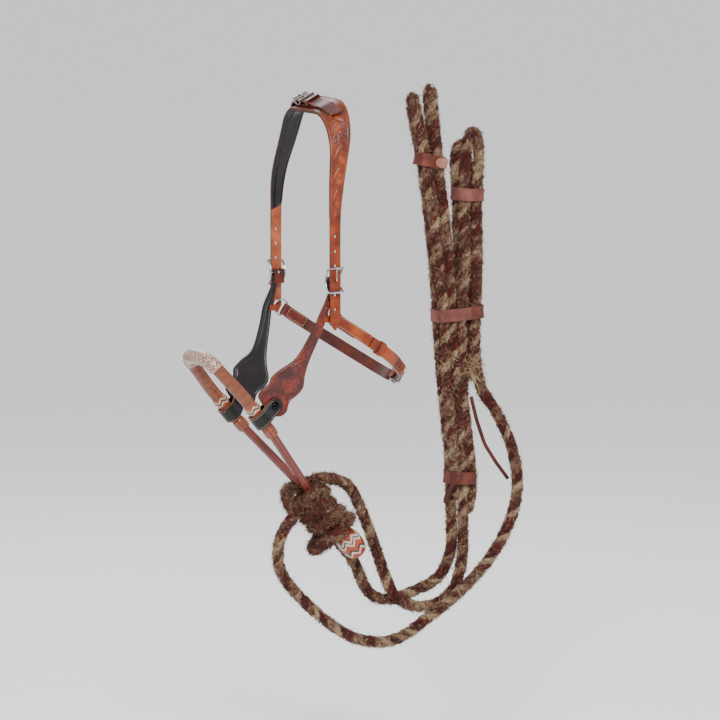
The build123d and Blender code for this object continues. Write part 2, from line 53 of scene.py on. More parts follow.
# The part's own sizes, in millimetres, as the CAD model has them
ARCH = {"near": [(1, 0), (66, 0), (87, -40), (87, -320)], "off": [(1, 0), (44, 0), (87, -95), (87, -320)]}
ARCH_RADII = {"near": [45, 60], "off": [30, 120]}
POLL_SLOPE = 0.5
CROWN_PAD_END = -141
CHEEK_LINE = {"near": -239.2, "off": -244.2}
CHEEK_BEND = [(86.8, -288), (51.5, -396), (51.5, -450)]
CHEEK_BEND_RADII = [60, 30]
CHEEK_FRONT = [(-20, -225), (-20.3, -251), (-25.3, -265), (-35, -285), (-46, -314), (-62, -345)]
CHEEK_FRONT += [(-82, -359), (-95, -370), (-98, -380), (-109, -390), (-112, -398.5), (-105, -410)]
CHEEK_FRONT += [(-97, -423.5), (-89, -427)]
CHEEK_REAR = [(-4, -225), (-15, -262), (-23, -292), (-31, -320), (-40, -350), (-43, -370), (-43, -387)]
CHEEK_REAR += [(-50, -398), (-63, -408), (-68, -422), (-79, -429)]
CROWN_FRONT = [(-18, 20), (-18.5, -45), (-20, -95), (-20, -140), (-20, -200), (-20, -293)]
CROWN_REAR = [(18, 20), (10, -50), (3, -92), (-3.2, -140), (-4, -168), (-4, -200), (-4, -293)]
HINGE = (-87, -412)
ROSE = (-64, -381)
BOSAL_ORIGIN = Vector((-180, 0, -345))
BOSAL_ANGLE = radians(49.2)
BOSAL_ALONG = Vector((cos(BOSAL_ANGLE), 0, -sin(BOSAL_ANGLE)))
BOSAL_NORMAL = Vector((sin(BOSAL_ANGLE), 0, cos(BOSAL_ANGLE)))
BOSAL_HALF = [(372, 7.2), (250, 9.2), (140, 46), (70, 53), (-1.5, 37)]
BOSAL_RADII = [120, 150, 80, 29]
THROAT_ANGLE = radians(34)
THROAT_ALONG = Vector((cos(THROAT_ANGLE), 0, -sin(THROAT_ANGLE)))
THROAT_NORMAL = Vector((sin(THROAT_ANGLE), 0, cos(THROAT_ANGLE)))
THROAT_ORIGIN = Vector((-8, 0, -290))

# The camera and the floor, in metres and degrees
CAMERA_TARGET = Vector((0.0749, 0, -0.3615))
CAMERA_DISTANCE = 9.0
CAMERA_AZIMUTH = -27
CAMERA_ELEVATION = 6.7
CAMERA_LENS = 316.8
SENSOR_WIDTH = 36
FLOOR_SIZE = 60
FLOOR_HEIGHT = -0.95
LIT_POINT = (0.05, 0, -0.35)


# ---- camera and light


def aim(obj, target):
    """Turns a camera or light towards a point."""
    obj.rotation_euler = (Vector(target) - obj.location).to_track_quat("-Z", "Y").to_euler()


def make_camera():
    """A long lens 27 degrees round from the near side and a little above."""
    data = bpy.data.cameras.new("Camera")
    data.lens = CAMERA_LENS
    data.sensor_width = SENSOR_WIDTH
    camera = bpy.data.objects.new("Camera", data)
    bpy.context.scene.collection.objects.link(camera)
    azimuth, elevation = radians(CAMERA_AZIMUTH), radians(CAMERA_ELEVATION)
    level = cos(elevation)
    back = Vector((sin(azimuth) * level, -cos(azimuth) * level, sin(elevation)))
    camera.location = CAMERA_TARGET + back * CAMERA_DISTANCE
    aim(camera, CAMERA_TARGET)
    bpy.context.scene.camera = camera


def area_light(name, location, size, power):
    """A square light of a size in metres and a power in watts, turned to the middle of the set."""
    data = bpy.data.lights.new(name, "AREA")
    data.size = size
    data.energy = power
    light = bpy.data.objects.new(name, data)
    bpy.context.scene.collection.objects.link(light)
    light.location = location
    aim(light, LIT_POINT)


def make_studio():
    """A pale floor, an even pale surround, and three soft lights."""
    world = bpy.data.worlds.new("World")
    bpy.context.scene.world = world
    world.use_nodes = True
    background = world.node_tree.nodes["Background"]
    background.inputs["Color"].default_value = (1, 1, 1, 1)
    background.inputs["Strength"].default_value = 1.0
    area_light("KeyLight", (-1.0, -2.0, 1.3), 0.7, 85)
    area_light("FillLight", (2.2, -1.6, 0.4), 1.6, 12)
    area_light("RimLight", (0.6, 2.0, 1.4), 1.0, 34)
    bpy.ops.mesh.primitive_plane_add(size=FLOOR_SIZE, location=(0, 0, FLOOR_HEIGHT))
    floor = bpy.context.object
    floor.name = "Floor"
    floor.data.materials.append(plain_material("floor_pale", (0.95, 0.95, 0.95), 0.9))


# ---- materials


def rgb(red, green, blue):
    """An sRGB colour of 0 to 255 as linear values."""
    return tuple(((c / 255 + 0.055) / 1.055) ** 2.4 if c > 10 else c / 3295 for c in (red, green, blue))


def new_material(name, roughness):
    """A material with its node tree and its main shader."""
    material = bpy.data.materials.new(name)
    material.use_nodes = True
    shader = material.node_tree.nodes["Principled BSDF"]
    shader.inputs["Roughness"].default_value = roughness
    return material, material.node_tree, shader


def set_inputs(node, **inputs):
    """Sets a node's inputs by name, with _ for each space."""
    for key, value in inputs.items():
        node.inputs[key.replace("_", " ")].default_value = value


def plain_material(name, color, roughness):
    """One even colour."""
    material, _, shader = new_material(name, roughness)
    set_inputs(shader, Base_Color=(*color, 1))
    return material


def add_node(tree, kind, **inputs):
    """A new node with some of its inputs set."""
    node = tree.nodes.new(kind)
    set_inputs(node, **inputs)
    return node


def object_place(tree):
    """Each point's place on its own object, for textures to read."""
    return tree.nodes.new("ShaderNodeTexCoord").outputs["Object"]


def mesh_shade(tree):
    """The colour painted on the mesh's own points."""
    shade = tree.nodes.new("ShaderNodeVertexColor")
    shade.layer_name = "shade"
    return shade.outputs["Color"]


def texture(tree, kind, vector, **inputs):
    """A texture node that reads the given vector."""
    tex = add_node(tree, kind, **inputs)
    tree.links.new(vector, tex.inputs["Vector"])
    return tex


def noise_ramp(tree, vector, scale, detail, stops):
    """Noise read through a colour ramp. stops are (position, colour)."""
    tex = texture(tree, "ShaderNodeTexNoise", vector, Scale=scale, Detail=detail)
    ramp = tree.nodes.new("ShaderNodeValToRGB")
    while len(ramp.color_ramp.elements) < len(stops):
        ramp.color_ramp.elements.new(0.5)
    for element, (position, color) in zip(ramp.color_ramp.elements, stops):
        element.position = position
        element.color = (*color, 1)
    tree.links.new(tex.outputs["Fac"], ramp.inputs["Fac"])
    return ramp.outputs["Color"]


def bump_from(tree, shader, height, strength, distance, before=None):
    """Bump from a height, on top of an earlier bump when one is given."""
    bump = add_node(tree, "ShaderNodeBump", Strength=strength, Distance=distance)
    tree.links.new(height, bump.inputs["Height"])
    if before is not None:
        tree.links.new(before.outputs["Normal"], bump.inputs["Normal"])
    tree.links.new(bump.outputs["Normal"], shader.inputs["Normal"])
    return bump


def noise_bump(tree, shader, vector, scale, detail, strength, distance, before=None):
    """Bump from fine noise."""
    noise = texture(tree, "ShaderNodeTexNoise", vector, Scale=scale, Detail=detail)
    bump_from(tree, shader, noise.outputs["Fac"], strength, distance, before)


def multiply(tree, first, second):
    """One colour times another."""
    mix = tree.nodes.new("ShaderNodeMix")
    mix.data_type = "RGBA"
    mix.blend_type = "MULTIPLY"
    mix.inputs["Factor"].default_value = 1.0
    tree.links.new(first, mix.inputs["A"])
    tree.links.new(second, mix.inputs["B"])
    return mix.outputs["Result"]


def leather(name, dark, base, light, roughness, grain, painted, coat):
    """Mottled colour, pore grain and faint creases. painted also shades it by the mesh's own colour."""
    material, tree, shader = new_material(name, roughness)
    place = object_place(tree)
    color = noise_ramp(tree, place, 45, 6, [(0.3, rgb(*dark)), (0.5, rgb(*base)), (0.72, rgb(*light))])
    if painted:
        color = multiply(tree, color, mesh_shade(tree))
    tree.links.new(color, shader.inputs["Base Color"])
    pores = texture(tree, "ShaderNodeTexVoronoi", place, Scale=grain)
    pore_bump = bump_from(tree, shader, pores.outputs["Distance"], 0.25, 0.0004)
    noise_bump(tree, shader, place, 220, 5, 0.2, 0.0006, pore_bump)
    set_inputs(shader, Specular_IOR_Level=0.28, Coat_Weight=coat, Coat_Roughness=0.25)
    return material


def painted_braid(name):
    """Varnished rawhide: the mesh's own colours with fine wear."""
    material, tree, shader = new_material(name, 0.38)
    place = object_place(tree)
    wear = noise_ramp(tree, place, 160, 5, [(0.3, (0.62, 0.55, 0.5)), (0.62, (1, 1, 1))])
    tree.links.new(multiply(tree, mesh_shade(tree), wear), shader.inputs["Base Color"])
    noise_bump(tree, shader, place, 900, 3, 0.2, 0.0003)
    set_inputs(shader, Coat_Weight=0.25, Coat_Roughness=0.25)
    return material


def hair(name):
    """Horsehair in the mesh's own colours, streaked along each twisted strand."""
    material, tree, shader = new_material(name, 0.6)
    uv = tree.nodes.new("ShaderNodeUVMap")
    uv.uv_map = "along"
    place = texture(tree, "ShaderNodeMapping", uv.outputs["UV"], Scale=(60.0, 9.0, 1.0)).outputs["Vector"]
    streaks = noise_ramp(tree, place, 1.8, 8, [(0.3, (0.3, 0.25, 0.22)), (0.68, (1.25, 1.2, 1.15))])
    tree.links.new(multiply(tree, mesh_shade(tree), streaks), shader.inputs["Base Color"])
    noise_bump(tree, shader, place, 4.0, 8, 1.0, 0.003)
    set_inputs(shader, Specular_IOR_Level=0.15, Sheen_Weight=0.05, Sheen_Roughness=0.5)
    return material


def metal(name, color, roughness):
    """Polished hardware with faint wear scratches."""
    material, tree, shader = new_material(name, roughness)
    set_inputs(shader, Metallic=1.0)
    place = object_place(tree)
    tint = noise_ramp(tree, place, 130, 5, [(0.35, tuple(0.45 * c for c in color)), (0.6, color)])
    tree.links.new(tint, shader.inputs["Base Color"])
    noise_bump(tree, shader, place, 700, 4, 0.15, 0.0003)
    return material


# Three colours from dark to light, roughness, grain, whether painted, and coat
LEATHERS = {
    "russet": ((78, 26, 7), (124, 48, 12), (152, 68, 20), 0.42, 900, True, 0.25),
    "russet_plain": ((82, 27, 8), (118, 45, 12), (144, 62, 20), 0.42, 900, False, 0.15),
    "flesh": ((112, 50, 28), (142, 70, 42), (166, 92, 60), 0.6, 500, False, 0.0),
    "mahogany": ((56, 10, 3), (92, 20, 7), (126, 34, 12), 0.34, 900, True, 0.3),
    "mahogany_plain": ((40, 10, 5), (66, 18, 9), (92, 30, 14), 0.5, 900, False, 0.03),
    "black": ((9, 5, 7), (17, 11, 13), (28, 20, 23), 0.38, 700, True, 0.15),
    "black_plain": ((7, 6, 6), (12, 10, 10), (20, 17, 17), 0.42, 700, False, 0.08),
    "cut_edge": ((104, 60, 50), (132, 84, 72), (156, 110, 96), 0.7, 1200, False, 0.0),
    "tie": ((66, 34, 26), (88, 50, 42), (110, 70, 60), 0.6, 800, True, 0.0),
}
MATERIALS = {name: leather(name, *look) for name, look in LEATHERS.items()}
MATERIALS |= {
    "thread": plain_material("thread", rgb(186, 160, 138), 0.6),
    "dark_thread": plain_material("dark_thread", rgb(52, 18, 7), 0.6),
    "braid": painted_braid("braid"),
    "steel": metal("steel", rgb(208, 208, 212), 0.2),
    "antique": metal("antique", rgb(150, 144, 142), 0.3),
    "gloss_black": metal("gloss_black", rgb(30, 30, 32), 0.16),
    "hair": hair("hair"),
}
MAROON, DARK_HAIR, STRAW = rgb(88, 24, 18), rgb(46, 26, 20), rgb(198, 174, 140)


# ---- shape helpers


def new_mesh(name, vertices, faces, material):
    """A smooth mesh object from points in millimetres."""
    mesh = bpy.data.meshes.new(name)
    mesh.from_pydata([[c * MM for c in v] for v in vertices], [], faces)
    mesh.materials.append(MATERIALS[material])
    mesh.polygons.foreach_set("use_smooth", [True] * len(mesh.polygons))
    mesh.update()
    obj = bpy.data.objects.new(name, mesh)
    bpy.context.scene.collection.objects.link(obj)
    return obj


def paint(obj, colors):
    """One colour a vertex, as the layer the painted materials read."""
    layer = obj.data.color_attributes.new("shade", "FLOAT_COLOR", "POINT")
    flat = np.ones((len(obj.data.vertices), 4), np.float32)
    flat[:, :3] = colors
    layer.data.foreach_set("color", flat.ravel())


def face_outward(obj):
    """Turns every face of a closed mesh to face out."""
    bm = bmesh.new()
    bm.from_mesh(obj.data)
    bmesh.ops.recalc_face_normals(bm, faces=bm.faces)
    bm.to_mesh(obj.data)
    bm.free()


def unit(vectors):
    """The same directions at length 1."""
    return vectors / np.maximum(np.linalg.norm(vectors, axis=-1, keepdims=True), 1e-9)


def clamped(values):
    """Values held between 0 and 1."""
    return np.clip(values, 0, 1)


def distances(line):
    """How far along a line each of its points is."""
    return np.concatenate([[0], np.cumsum(np.linalg.norm(np.diff(line, axis=0), axis=1))])


def catmull(points, steps=10):
    """A smooth line through points."""
    p = [np.array(q, float) for q in points]
    p = [2 * p[0] - p[1]] + p + [2 * p[-1] - p[-2]]
    line = []
    for a, b, c, d in zip(p, p[1:], p[2:], p[3:]):
        for t in np.linspace(0, 1, steps, endpoint=False):
            square = (2 * a - 5 * b + 4 * c - d) * t**2
            cube = (3 * b - a - 3 * c + d) * t**3
            line.append(0.5 * (2 * b + (c - a) * t + square + cube))
    line.append(p[-2])
    return np.array(line)


def filleted(points, radii, step=2.0):
    """Straight runs joined by arcs of the given radii, as points a step apart."""
    p = [np.array(q, float) for q in points]
    line = [p[0]]
    for before, here, after, radius in zip(p, p[1:], p[2:], radii):
        a = (before - here) / np.linalg.norm(before - here)
        b = (after - here) / np.linalg.norm(after - here)
        half = acos(max(-1.0, min(1.0, float(a @ b)))) / 2
        tangent = radius / tan(half)
        middle = (a + b) / np.linalg.norm(a + b)
        centre = here + middle * radius / sin(half)
        start, end = here + a * tangent, here + b * tangent
        count = max(3, int(radius * (pi - 2 * half) / step))
        for t in np.linspace(0, 1, count):
            chord = start * (1 - t) + end * t - centre
            line.append(centre + chord / np.linalg.norm(chord) * radius)
    line.append(p[-1])
    return resample(line, step)


def resample(points, step):
    """The same line with points evenly a step apart."""
    p = np.array(points, float)
    lengths = distances(p)
    count = max(2, int(round(lengths[-1] / step)) + 1)
    at = np.linspace(0, lengths[-1], count)
    return np.stack([np.interp(at, lengths, p[:, k]) for k in range(p.shape[1])], axis=1)


def frames(points):
    """Tangent and two carried-along normals at each point."""
    tangent = unit(np.gradient(np.array(points, float), axis=0))
    first = np.cross(tangent[0], [0.3, 0.9, 0.31])
    normals = [first / np.linalg.norm(first)]
    for t in tangent[1:]:
        n = normals[-1] - t * (normals[-1] @ t)
        normals.append(n / np.linalg.norm(n))
    normals = np.array(normals)
    return tangent, normals, np.cross(tangent, normals)


def grid_faces(rows, columns, start=0, wrap=False):
    """Quads of a grid of rows by columns. wrap joins the last column to the first."""
    faces = []
    span = columns if wrap else columns - 1
    for i in range(rows - 1):
        for j in range(span):
            k = (j + 1) % columns
            a = start + i * columns
            faces.append((a + j, a + k, a + columns + k, a + columns + j))
    return faces


def tube_faces(rows, columns, start=0):
    """The faces of a tube of rows by columns, closed at both ends."""
    last = start + (rows - 1) * columns
    ends = [tuple(reversed(range(start, start + columns))), tuple(range(last, last + columns))]
    return grid_faces(rows, columns, start, wrap=True) + ends


# ---- hair rope

ROUTE_REIN = [
    (-31, -8, -575), (-51, -10, -593), (-63, -12, -620), (-60, -14, -657), (-27, -16, -696), (20, -20, -738),
    (66, -24, -763), (118, -28, -766), (168, -30, -735), (225, -30, -698), (284, -27, -644), (320, -23, -572),
    (316, -18, -508), (290, -12, -446), (266, -8, -416), (256, -9, -380), (254, -9, -330), (257, -9, -280),
    (259, -8, -220), (257, -8, -160), (258, -8, -122), (263, -7, -72), (258, -6, -43), (246, -6, -43),
    (241, -7, -72), (238, -8, -122), (237, -8, -165), (239, -9, -225), (235, -9, -285), (230, -11, -345),
    (232, -11, -405), (240, -10, -465), (248, -9, -520), (251, -7, -562), (249, -1, -586), (249, 6, -586),
    (249, 9, -560), (250, 10, -515), (246, 15, -465), (234, 16, -415), (222, 14, -355), (216, 9, -295),
    (212, 8, -230), (205, 8, -165), (198, 7.5, -110), (194, 7.5, -72), (189, 6.5, -15), (187, 6, 12),
    (186, 0, 24), (186, -6, 12), (188, -6.5, -15), (194, -7.5, -72), (198, -7.5, -110), (206, -8, -165),
    (213, -8, -230), (216, -9, -295), (220, -10, -355), (224, -11, -415), (230, -10, -475), (236, -9, -530),
    (237, -8, -575), (236, -8, -606), (237, -8, -640), (233, -8, -674), (217, -8, -710), (173, -11, -725),
    (125, -12, -709), (108, -11, -671), (89, -9, -614), (69, -8, -566), (55, -8, -540), (37, -7, -530),
    (18.5, -6, -526),
]
ROUTE_LEAD = [
    (44.8, 25.4, -613.6), (62, 27, -632), (80, 26, -656), (92, 22, -691), (107, 16, -708), (130, 11, -712),
    (162, 9, -702), (203, 7, -688), (221, 7, -660), (227, 7, -633), (226, 8, -606), (226, 9, -570),
    (225, 9, -515), (218, 9, -455), (211, 10, -395), (206, 9, -335), (202, 8, -280), (197, 8, -225),
    (190, 8, -165), (182, 7.5, -110), (177, 7.5, -76), (163, 6, -20), (159, 5, 2), (158, -1, 12),
    (159, -6, 2), (163, -6, -20), (177, -7.5, -76), (182, -7.5, -110), (189, -8, -165), (197, -8, -225),
    (203, -9, -285), (207, -11, -345), (209, -11, -405), (216, -11, -465), (223, -10, -520), (227, -6, -556),
    (235, 3, -566), (239, 9, -545), (238, 10, -500), (240, 8, -450), (246, 8, -395), (251, 9, -335),
    (256, 9, -275), (258, 9, -215), (257, 9, -155), (254, 9, -115), (249, 8, -78), (240, 8, -56),
    (230, 8, -78), (235, 9, -118), (236, 9, -165), (238, 10, -225), (236, 10, -285), (240, 4, -335),
    (251, -2, -372), (258, -4, -398),
]

# The turns round the shanks, down and back up
WRAP_TURNS = 5
BACK_TURNS = 3.6
TURN_POINTS = 12

# The rope in millimetres. The strands' sizes are shares of its radius
ROPE_RADIUS = 8.0
ROPE_PITCH = 40.0
LINE_STEP = 2.2
STRAND_OFFSET = 0.48
STRAND_RADIUS = 0.55
STRAND_SWELL = 0.05
STRAND_SIDES = 10
UV_PER_METRE = 10
EVENED_STRAW = 0.14
HAIRS_PER_MM = 13
WRAP_HAIRS_PER_MM = 24
TUFT_HAIRS = 500
TUFT_STEPS = 16


def around_bosal(along, across=0, deep=0):
    """A point by the bosal: along it from the nose, across the set, and out of the bosal's plane."""
    return tuple(BOSAL_ORIGIN + BOSAL_ALONG * along + Vector((0, 1, 0)) * across + BOSAL_NORMAL * deep)


def wrapped(along, across, deep):
    """A point of a turn round the shanks; the lowest turns sag forward beside the heel knot."""
    slack = min(max((along - 312) / 30, 0), 1)
    if deep < 0:
        deep *= 1 + 0.9 * slack
        along += 9 * slack
    return around_bosal(along, across, deep)


def wrap_route():
    """The rope's turns round both shanks: from the left rein down to the heel knot, and loosely back up."""
    points = [(-31, -8, -575), (-42, -6, -560), around_bosal(248, 10, -24), around_bosal(246, 24, -16)]
    total = WRAP_TURNS * TURN_POINTS
    for i in range(3, total + 1):
        t = i / total
        angle = 2 * pi * i / TURN_POINTS
        along = 256 + 80 * t
        across = 18.5 + 2.5 * sin(3 * t + 1)
        deep = 15 + 1.5 * sin(7 * t)
        points.append(wrapped(along, across * cos(angle), deep * sin(angle) - 4))
    back = int(BACK_TURNS * TURN_POINTS)
    for i in range(1, back + 1):
        t = i / back
        angle = 2 * pi * i / TURN_POINTS
        along = 342 - 66 * t + 6 * cos(angle)
        across = 22 + 4 * sin(5 * t)
        deep = 21 + 8 * sin(2.6 * t + 1.6) ** 2
        points.append(wrapped(along, across * cos(angle), deep * sin(angle) - 6))
    points += [around_bosal(268, 12, 18), (-16, 0, -536), (2, -5, -526), (18.5, -6, -526)]
    return points


def spline_line(name, points):
    """Points read along a smooth NURBS line through the route, in millimetres."""
    curve = bpy.data.curves.new(name, "CURVE")
    curve.dimensions = "3D"
    spline = curve.splines.new("NURBS")
    spline.points.add(len(points) - 1)
    for control, p in zip(spline.points, points):
        control.co = (p[0] * MM, p[1] * MM, p[2] * MM, 1)
    spline.order_u = 3
    spline.use_endpoint_u = True
    spline.resolution_u = 12
    holder = bpy.data.objects.new(name, curve)
    bpy.context.scene.collection.objects.link(holder)
    bpy.context.view_layer.update()
    depsgraph = bpy.context.evaluated_depsgraph_get()
    mesh = bpy.data.meshes.new_from_object(holder.evaluated_get(depsgraph))
    line = [tuple(v.co / MM) for v in mesh.vertices]
    bpy.data.meshes.remove(mesh)
    bpy.data.objects.remove(holder)
    return resample(line, LINE_STEP)


def wobble(length, seed, scale):
    """A smooth random wave along a line, as a function of the distance along it."""
    rng = np.random.default_rng(seed)
    knots = rng.normal(0, 1, max(4, int(length / scale) + 3))
    at = np.linspace(0, len(knots) - 1.001, 400)
    i = at.astype(int)
    t = at - i
    t = t * t * (3 - 2 * t)
    wave = knots[i] * (1 - t) + knots[i + 1] * t
    return lambda s: np.interp(s, np.linspace(0, length, 400), wave)


def ply_centres(line, ply):
    """The centre line of one of the rope's three strands, and the distances along the rope."""
    _, normal, side = frames(line)
    s = distances(line)
    drift = wobble(s[-1], 40 + ply, 60)
    turn = 2 * np.pi * s / ROPE_PITCH + 2 * np.pi * ply / 3 + 0.25 * drift(s)
    out = normal * np.cos(turn)[:, None] + side * np.sin(turn)[:, None]
    return line + out * (ROPE_RADIUS * STRAND_OFFSET), s


def hair_tints(ply, s, rng, contrast):
    """Colours of hair at distances s along a strand: a straw ply and two dark ones, blotched together."""
    patch = sum((ply == k) * wobble(3600, 900 + k, 18)(s) for k in range(3))
    straw_odds = np.choose(ply, [0.55, 0.34, 0.2]) + 0.22 * patch + 0.12 * rng.normal(0, 1, s.shape)
    maroon_odds = np.choose(ply, [0.6, 0.9, 0.55]) + 0.25 * rng.normal(0, 1, s.shape)
    dark = np.where((maroon_odds > 0.5)[..., None], MAROON, DARK_HAIR)
    straw = np.array(STRAW) * (0.55 + 0.5 * rng.uniform(0, 1, s.shape))[..., None]
    mix = clamped((straw_odds - 0.28) * 1.9)
    mix = (EVENED_STRAW + (mix - EVENED_STRAW) * contrast)[..., None]
    return dark * (1 - mix) + straw * mix


def strand_uvs(s):
    """The corners of a strand's faces: u along the rope, v round the strand, and nothing on its two ends."""
    uvs = []
    for low, high in zip(s * MM * UV_PER_METRE, s[1:] * MM * UV_PER_METRE):
        for k in range(STRAND_SIDES):
            v0, v1 = k / STRAND_SIDES, (k + 1) / STRAND_SIDES
            uvs += [(low, v0), (low, v1), (high, v1), (high, v0)]
    return uvs + [(0, 0)] * (2 * STRAND_SIDES)


def set_uvs(obj, uvs):
    """One uv a face corner, as the layer the hair material reads."""
    layer = obj.data.uv_layers.new(name="along")
    layer.data.foreach_set("uv", np.array(uvs, np.float32).ravel())


def twisted_rope(name, line, seed, rough=0.11, contrast=1.0):
    """Three hair strands twisted together along a line."""
    vertices, faces, uvs, tints = [], [], [], []
    angle = 2 * np.pi * np.arange(STRAND_SIDES) / STRAND_SIDES
    for ply in range(3):
        centres, s = ply_centres(line, ply)
        _, normal, side = frames(centres)
        rng = np.random.default_rng(seed * 10 + ply)
        swell = wobble(s[-1], seed * 7 + ply, 12)(s)
        thick = ROPE_RADIUS * (STRAND_RADIUS + STRAND_SWELL * swell)
        out = normal[:, None] * np.cos(angle)[None, :, None] + side[:, None] * np.sin(angle)[None, :, None]
        r = thick[:, None] * (1 + rough * rng.normal(0, 1, (len(s), STRAND_SIDES)))
        points = centres[:, None] + out * r[..., None]
        faces += tube_faces(len(s), STRAND_SIDES, len(vertices))
        vertices += points.reshape(-1, 3).tolist()
        along = np.repeat(s[:, None], STRAND_SIDES, 1)
        tints.append(hair_tints(np.full(along.shape, ply), along, rng, contrast).reshape(-1, 3))
        uvs += strand_uvs(s)
    obj = new_mesh(name, vertices, faces, "hair")
    set_uvs(obj, uvs)
    paint(obj, np.concatenate(tints))
    return obj


def loose_hairs(name, line, count, seed, reach=(4, 13), lift=(0.0, 0.42), straw=None, contrast=1.0):
    """Hairs that lie over the rope or stand off it, as thin ribbons. straw makes them all one shade."""
    rng = np.random.default_rng(seed)
    tangent, normal, side = frames(line)
    i = rng.integers(1, len(line) - 1, count)
    angle = rng.uniform(0, 2 * pi, count)[:, None]
    out = normal[i] * np.cos(angle) + side[i] * np.sin(angle)
    round_way = np.cross(tangent[i], out)
    along = tangent[i] * (rng.choice([-1, 1], count) * rng.uniform(0.3, 1.0, count))[:, None]
    heading = along + out * rng.uniform(*lift, count)[:, None]
    heading = unit(heading + round_way * rng.normal(0, 0.6, count)[:, None])
    length = (rng.uniform(*reach, count) * rng.uniform(0.5, 1.0, count))[:, None]
    bend = out * rng.normal(-0.15, 0.25, count)[:, None] + round_way * rng.normal(0, 0.35, count)[:, None]
    bend[:, 2] -= 0.1
    root = line[i] + out * (ROPE_RADIUS * rng.uniform(0.72, 0.98, count))[:, None]
    across = unit(np.cross(heading, rng.normal(0, 1, (count, 3))))
    rows = []
    for t, width in ((0, 0.4), (0.5, 0.32), (1, 0.08)):
        p = root + heading * length * t + bend * length * 0.5 * t * t
        rows += [p - across * width, p + across * width]
    vertices = np.stack(rows, axis=1).reshape(-1, 3)
    start = 6 * np.arange(count)[:, None, None]
    faces = (start + np.array([[0, 1, 3, 2], [2, 3, 5, 4]])).reshape(-1, 4)
    obj = new_mesh(name, vertices.tolist(), faces.tolist(), "hair")
    set_uvs(obj, rng.uniform(0, 1, (2 * count, 1, 2)).repeat(4, axis=1))
    s = distances(line)[i]
    ply = np.round((angle[:, 0] / (2 * pi) - s / ROPE_PITCH) * 3).astype(int) % 3
    ply = (ply + (rng.uniform(0, 1, count) < 0.25) * rng.integers(1, 3, count)) % 3
    if straw is None:
        tint = hair_tints(ply, s, rng, contrast)
    else:
        tint = np.array(STRAW) * np.ones((count, 3)) * straw
    tint = tint * rng.uniform(0.8, 1.25, (count, 1))
    paint(obj, np.repeat(tint, 6, axis=0))
    return obj


def hang_between(obj):
    """Bakes the piece's placement into its mesh."""
    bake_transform(obj)


def length_of(line):
    """A line's length in metres."""
    return float(np.linalg.norm(np.diff(line, axis=0), axis=1).sum()) * MM


def hair_count(line, per_mm):
    share = 1.0
    return int(length_of(line) / MM * per_mm * share)


def lay_rope(name, route, nodes, seed, extra=(), far_end="object"):
    """One run of hanging rope with its loose hairs, in place of its CAD nodes."""
    line = spline_line(name + "_line", route)
    rope = twisted_rope(name, line, seed)
    hairs = loose_hairs(name + "_hairs", line, hair_count(line, HAIRS_PER_MM), seed + 1)
    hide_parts(*nodes)
    for piece in (rope, hairs):
        hang_between(piece)
    if far_end == "bare":
        tuft = loose_hairs("mecate_tuft", line[-TUFT_STEPS:], TUFT_HAIRS, 77, (14, 34), (0.2, 0.9), 0.9)
        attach(tuft, "headstall")
        extra = (tuft, *extra)


def wind_rope():
    """The rope's turns round the shanks, above the heel knot."""
    line = spline_line("wrap_line", wrap_route())
    wraps = twisted_rope("wound_rope", line, 31, rough=0.15, contrast=0.8)
    count = hair_count(line, WRAP_HAIRS_PER_MM)
    hairs = loose_hairs("wound_rope_hairs", line, count, 32, (4, 14), (0.05, 0.7), contrast=0.8)
    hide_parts("mecate_wraps")
    for piece in (wraps, hairs):
        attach(piece, "bosal")


def make_ropes():
    """The mecate: the doubled rein, the lead with its tuft and popper, and the turns round the bosal."""
    rein_nodes = ("mecate_rein_left", "mecate_rein_return", "mecate_hank_right", "mecate_hank_trunk")
    lay_rope("mecate_rein", ROUTE_REIN, rein_nodes, 11)
    lead_nodes = ("mecate_lead", "mecate_hank_left", "mecate_hank_foot")
    lay_rope("mecate_lead_rope", ROUTE_LEAD, lead_nodes, 23, ("mecate_popper",), "bare")
    wind_rope()


# ---- braided rawhide


def bosal_line():
    """The bosal's centre line in millimetres, and the same line flat as (distance from the nose, across)."""
    near = [(d, -y) for d, y in BOSAL_HALF]
    points = near + [(d, y) for d, y in reversed(BOSAL_HALF)]
    flat = filleted(points, BOSAL_RADII + BOSAL_RADII[::-1], 0.8)
    return np.array([around_bosal(d, y) for d, y in flat]), flat


def braid_height(u, v, strings, pitch):
    """A braid with u along in mm and v round from 0 to 1: its height, 0 to 1, and which way is on top."""
    a = v * strings + u / pitch
    b = v * strings - u / pitch
    fa, fb = a - np.floor(a), b - np.floor(b)
    over = (np.floor(a) + np.floor(b)) % 2 == 0
    across = np.where(over, fb, fa)
    along = np.where(over, fa, fb)
    hump = np.sin(np.pi * across) ** 0.6 * (0.55 + 0.45 * np.sin(np.pi * along))
    return hump, over


def braided_tube(name, line, radius, depth, strings, pitch, colors, facets):
    """A tube whose surface is a fine braid. radius is a number or one a point. colors paints its grid."""
    _, normal, side = frames(line)
    s = distances(line)
    u, v = np.meshgrid(s, np.arange(facets) / facets, indexing="ij")
    height, over = braid_height(u, v, strings, pitch)
    r = (np.ones(len(s)) * radius)[:, None] - depth + depth * height
    a = 2 * np.pi * v
    points = line[:, None, :] + normal[:, None, :] * (np.cos(a) * r)[..., None]
    points = points + side[:, None, :] * (np.sin(a) * r)[..., None]
    obj = new_mesh(name, points.reshape(-1, 3).tolist(), tube_faces(len(s), facets), "braid")
    paint(obj, colors(u, v, height, over, s[-1]).reshape(-1, 3))
    return obj


def two_tone(first, second):
    """Colours a braid by which string lies on top, with painted shade darkening the grooves."""
    first, second = np.array(first), np.array(second)

    def colors(u, v, height, over, length):
        # Painted shade: darker where the braid is lower, in the grooves.
        shade = 0.45 + 0.55 * height
        return np.where(over[..., None], first, second) * shade[..., None]

    return colors


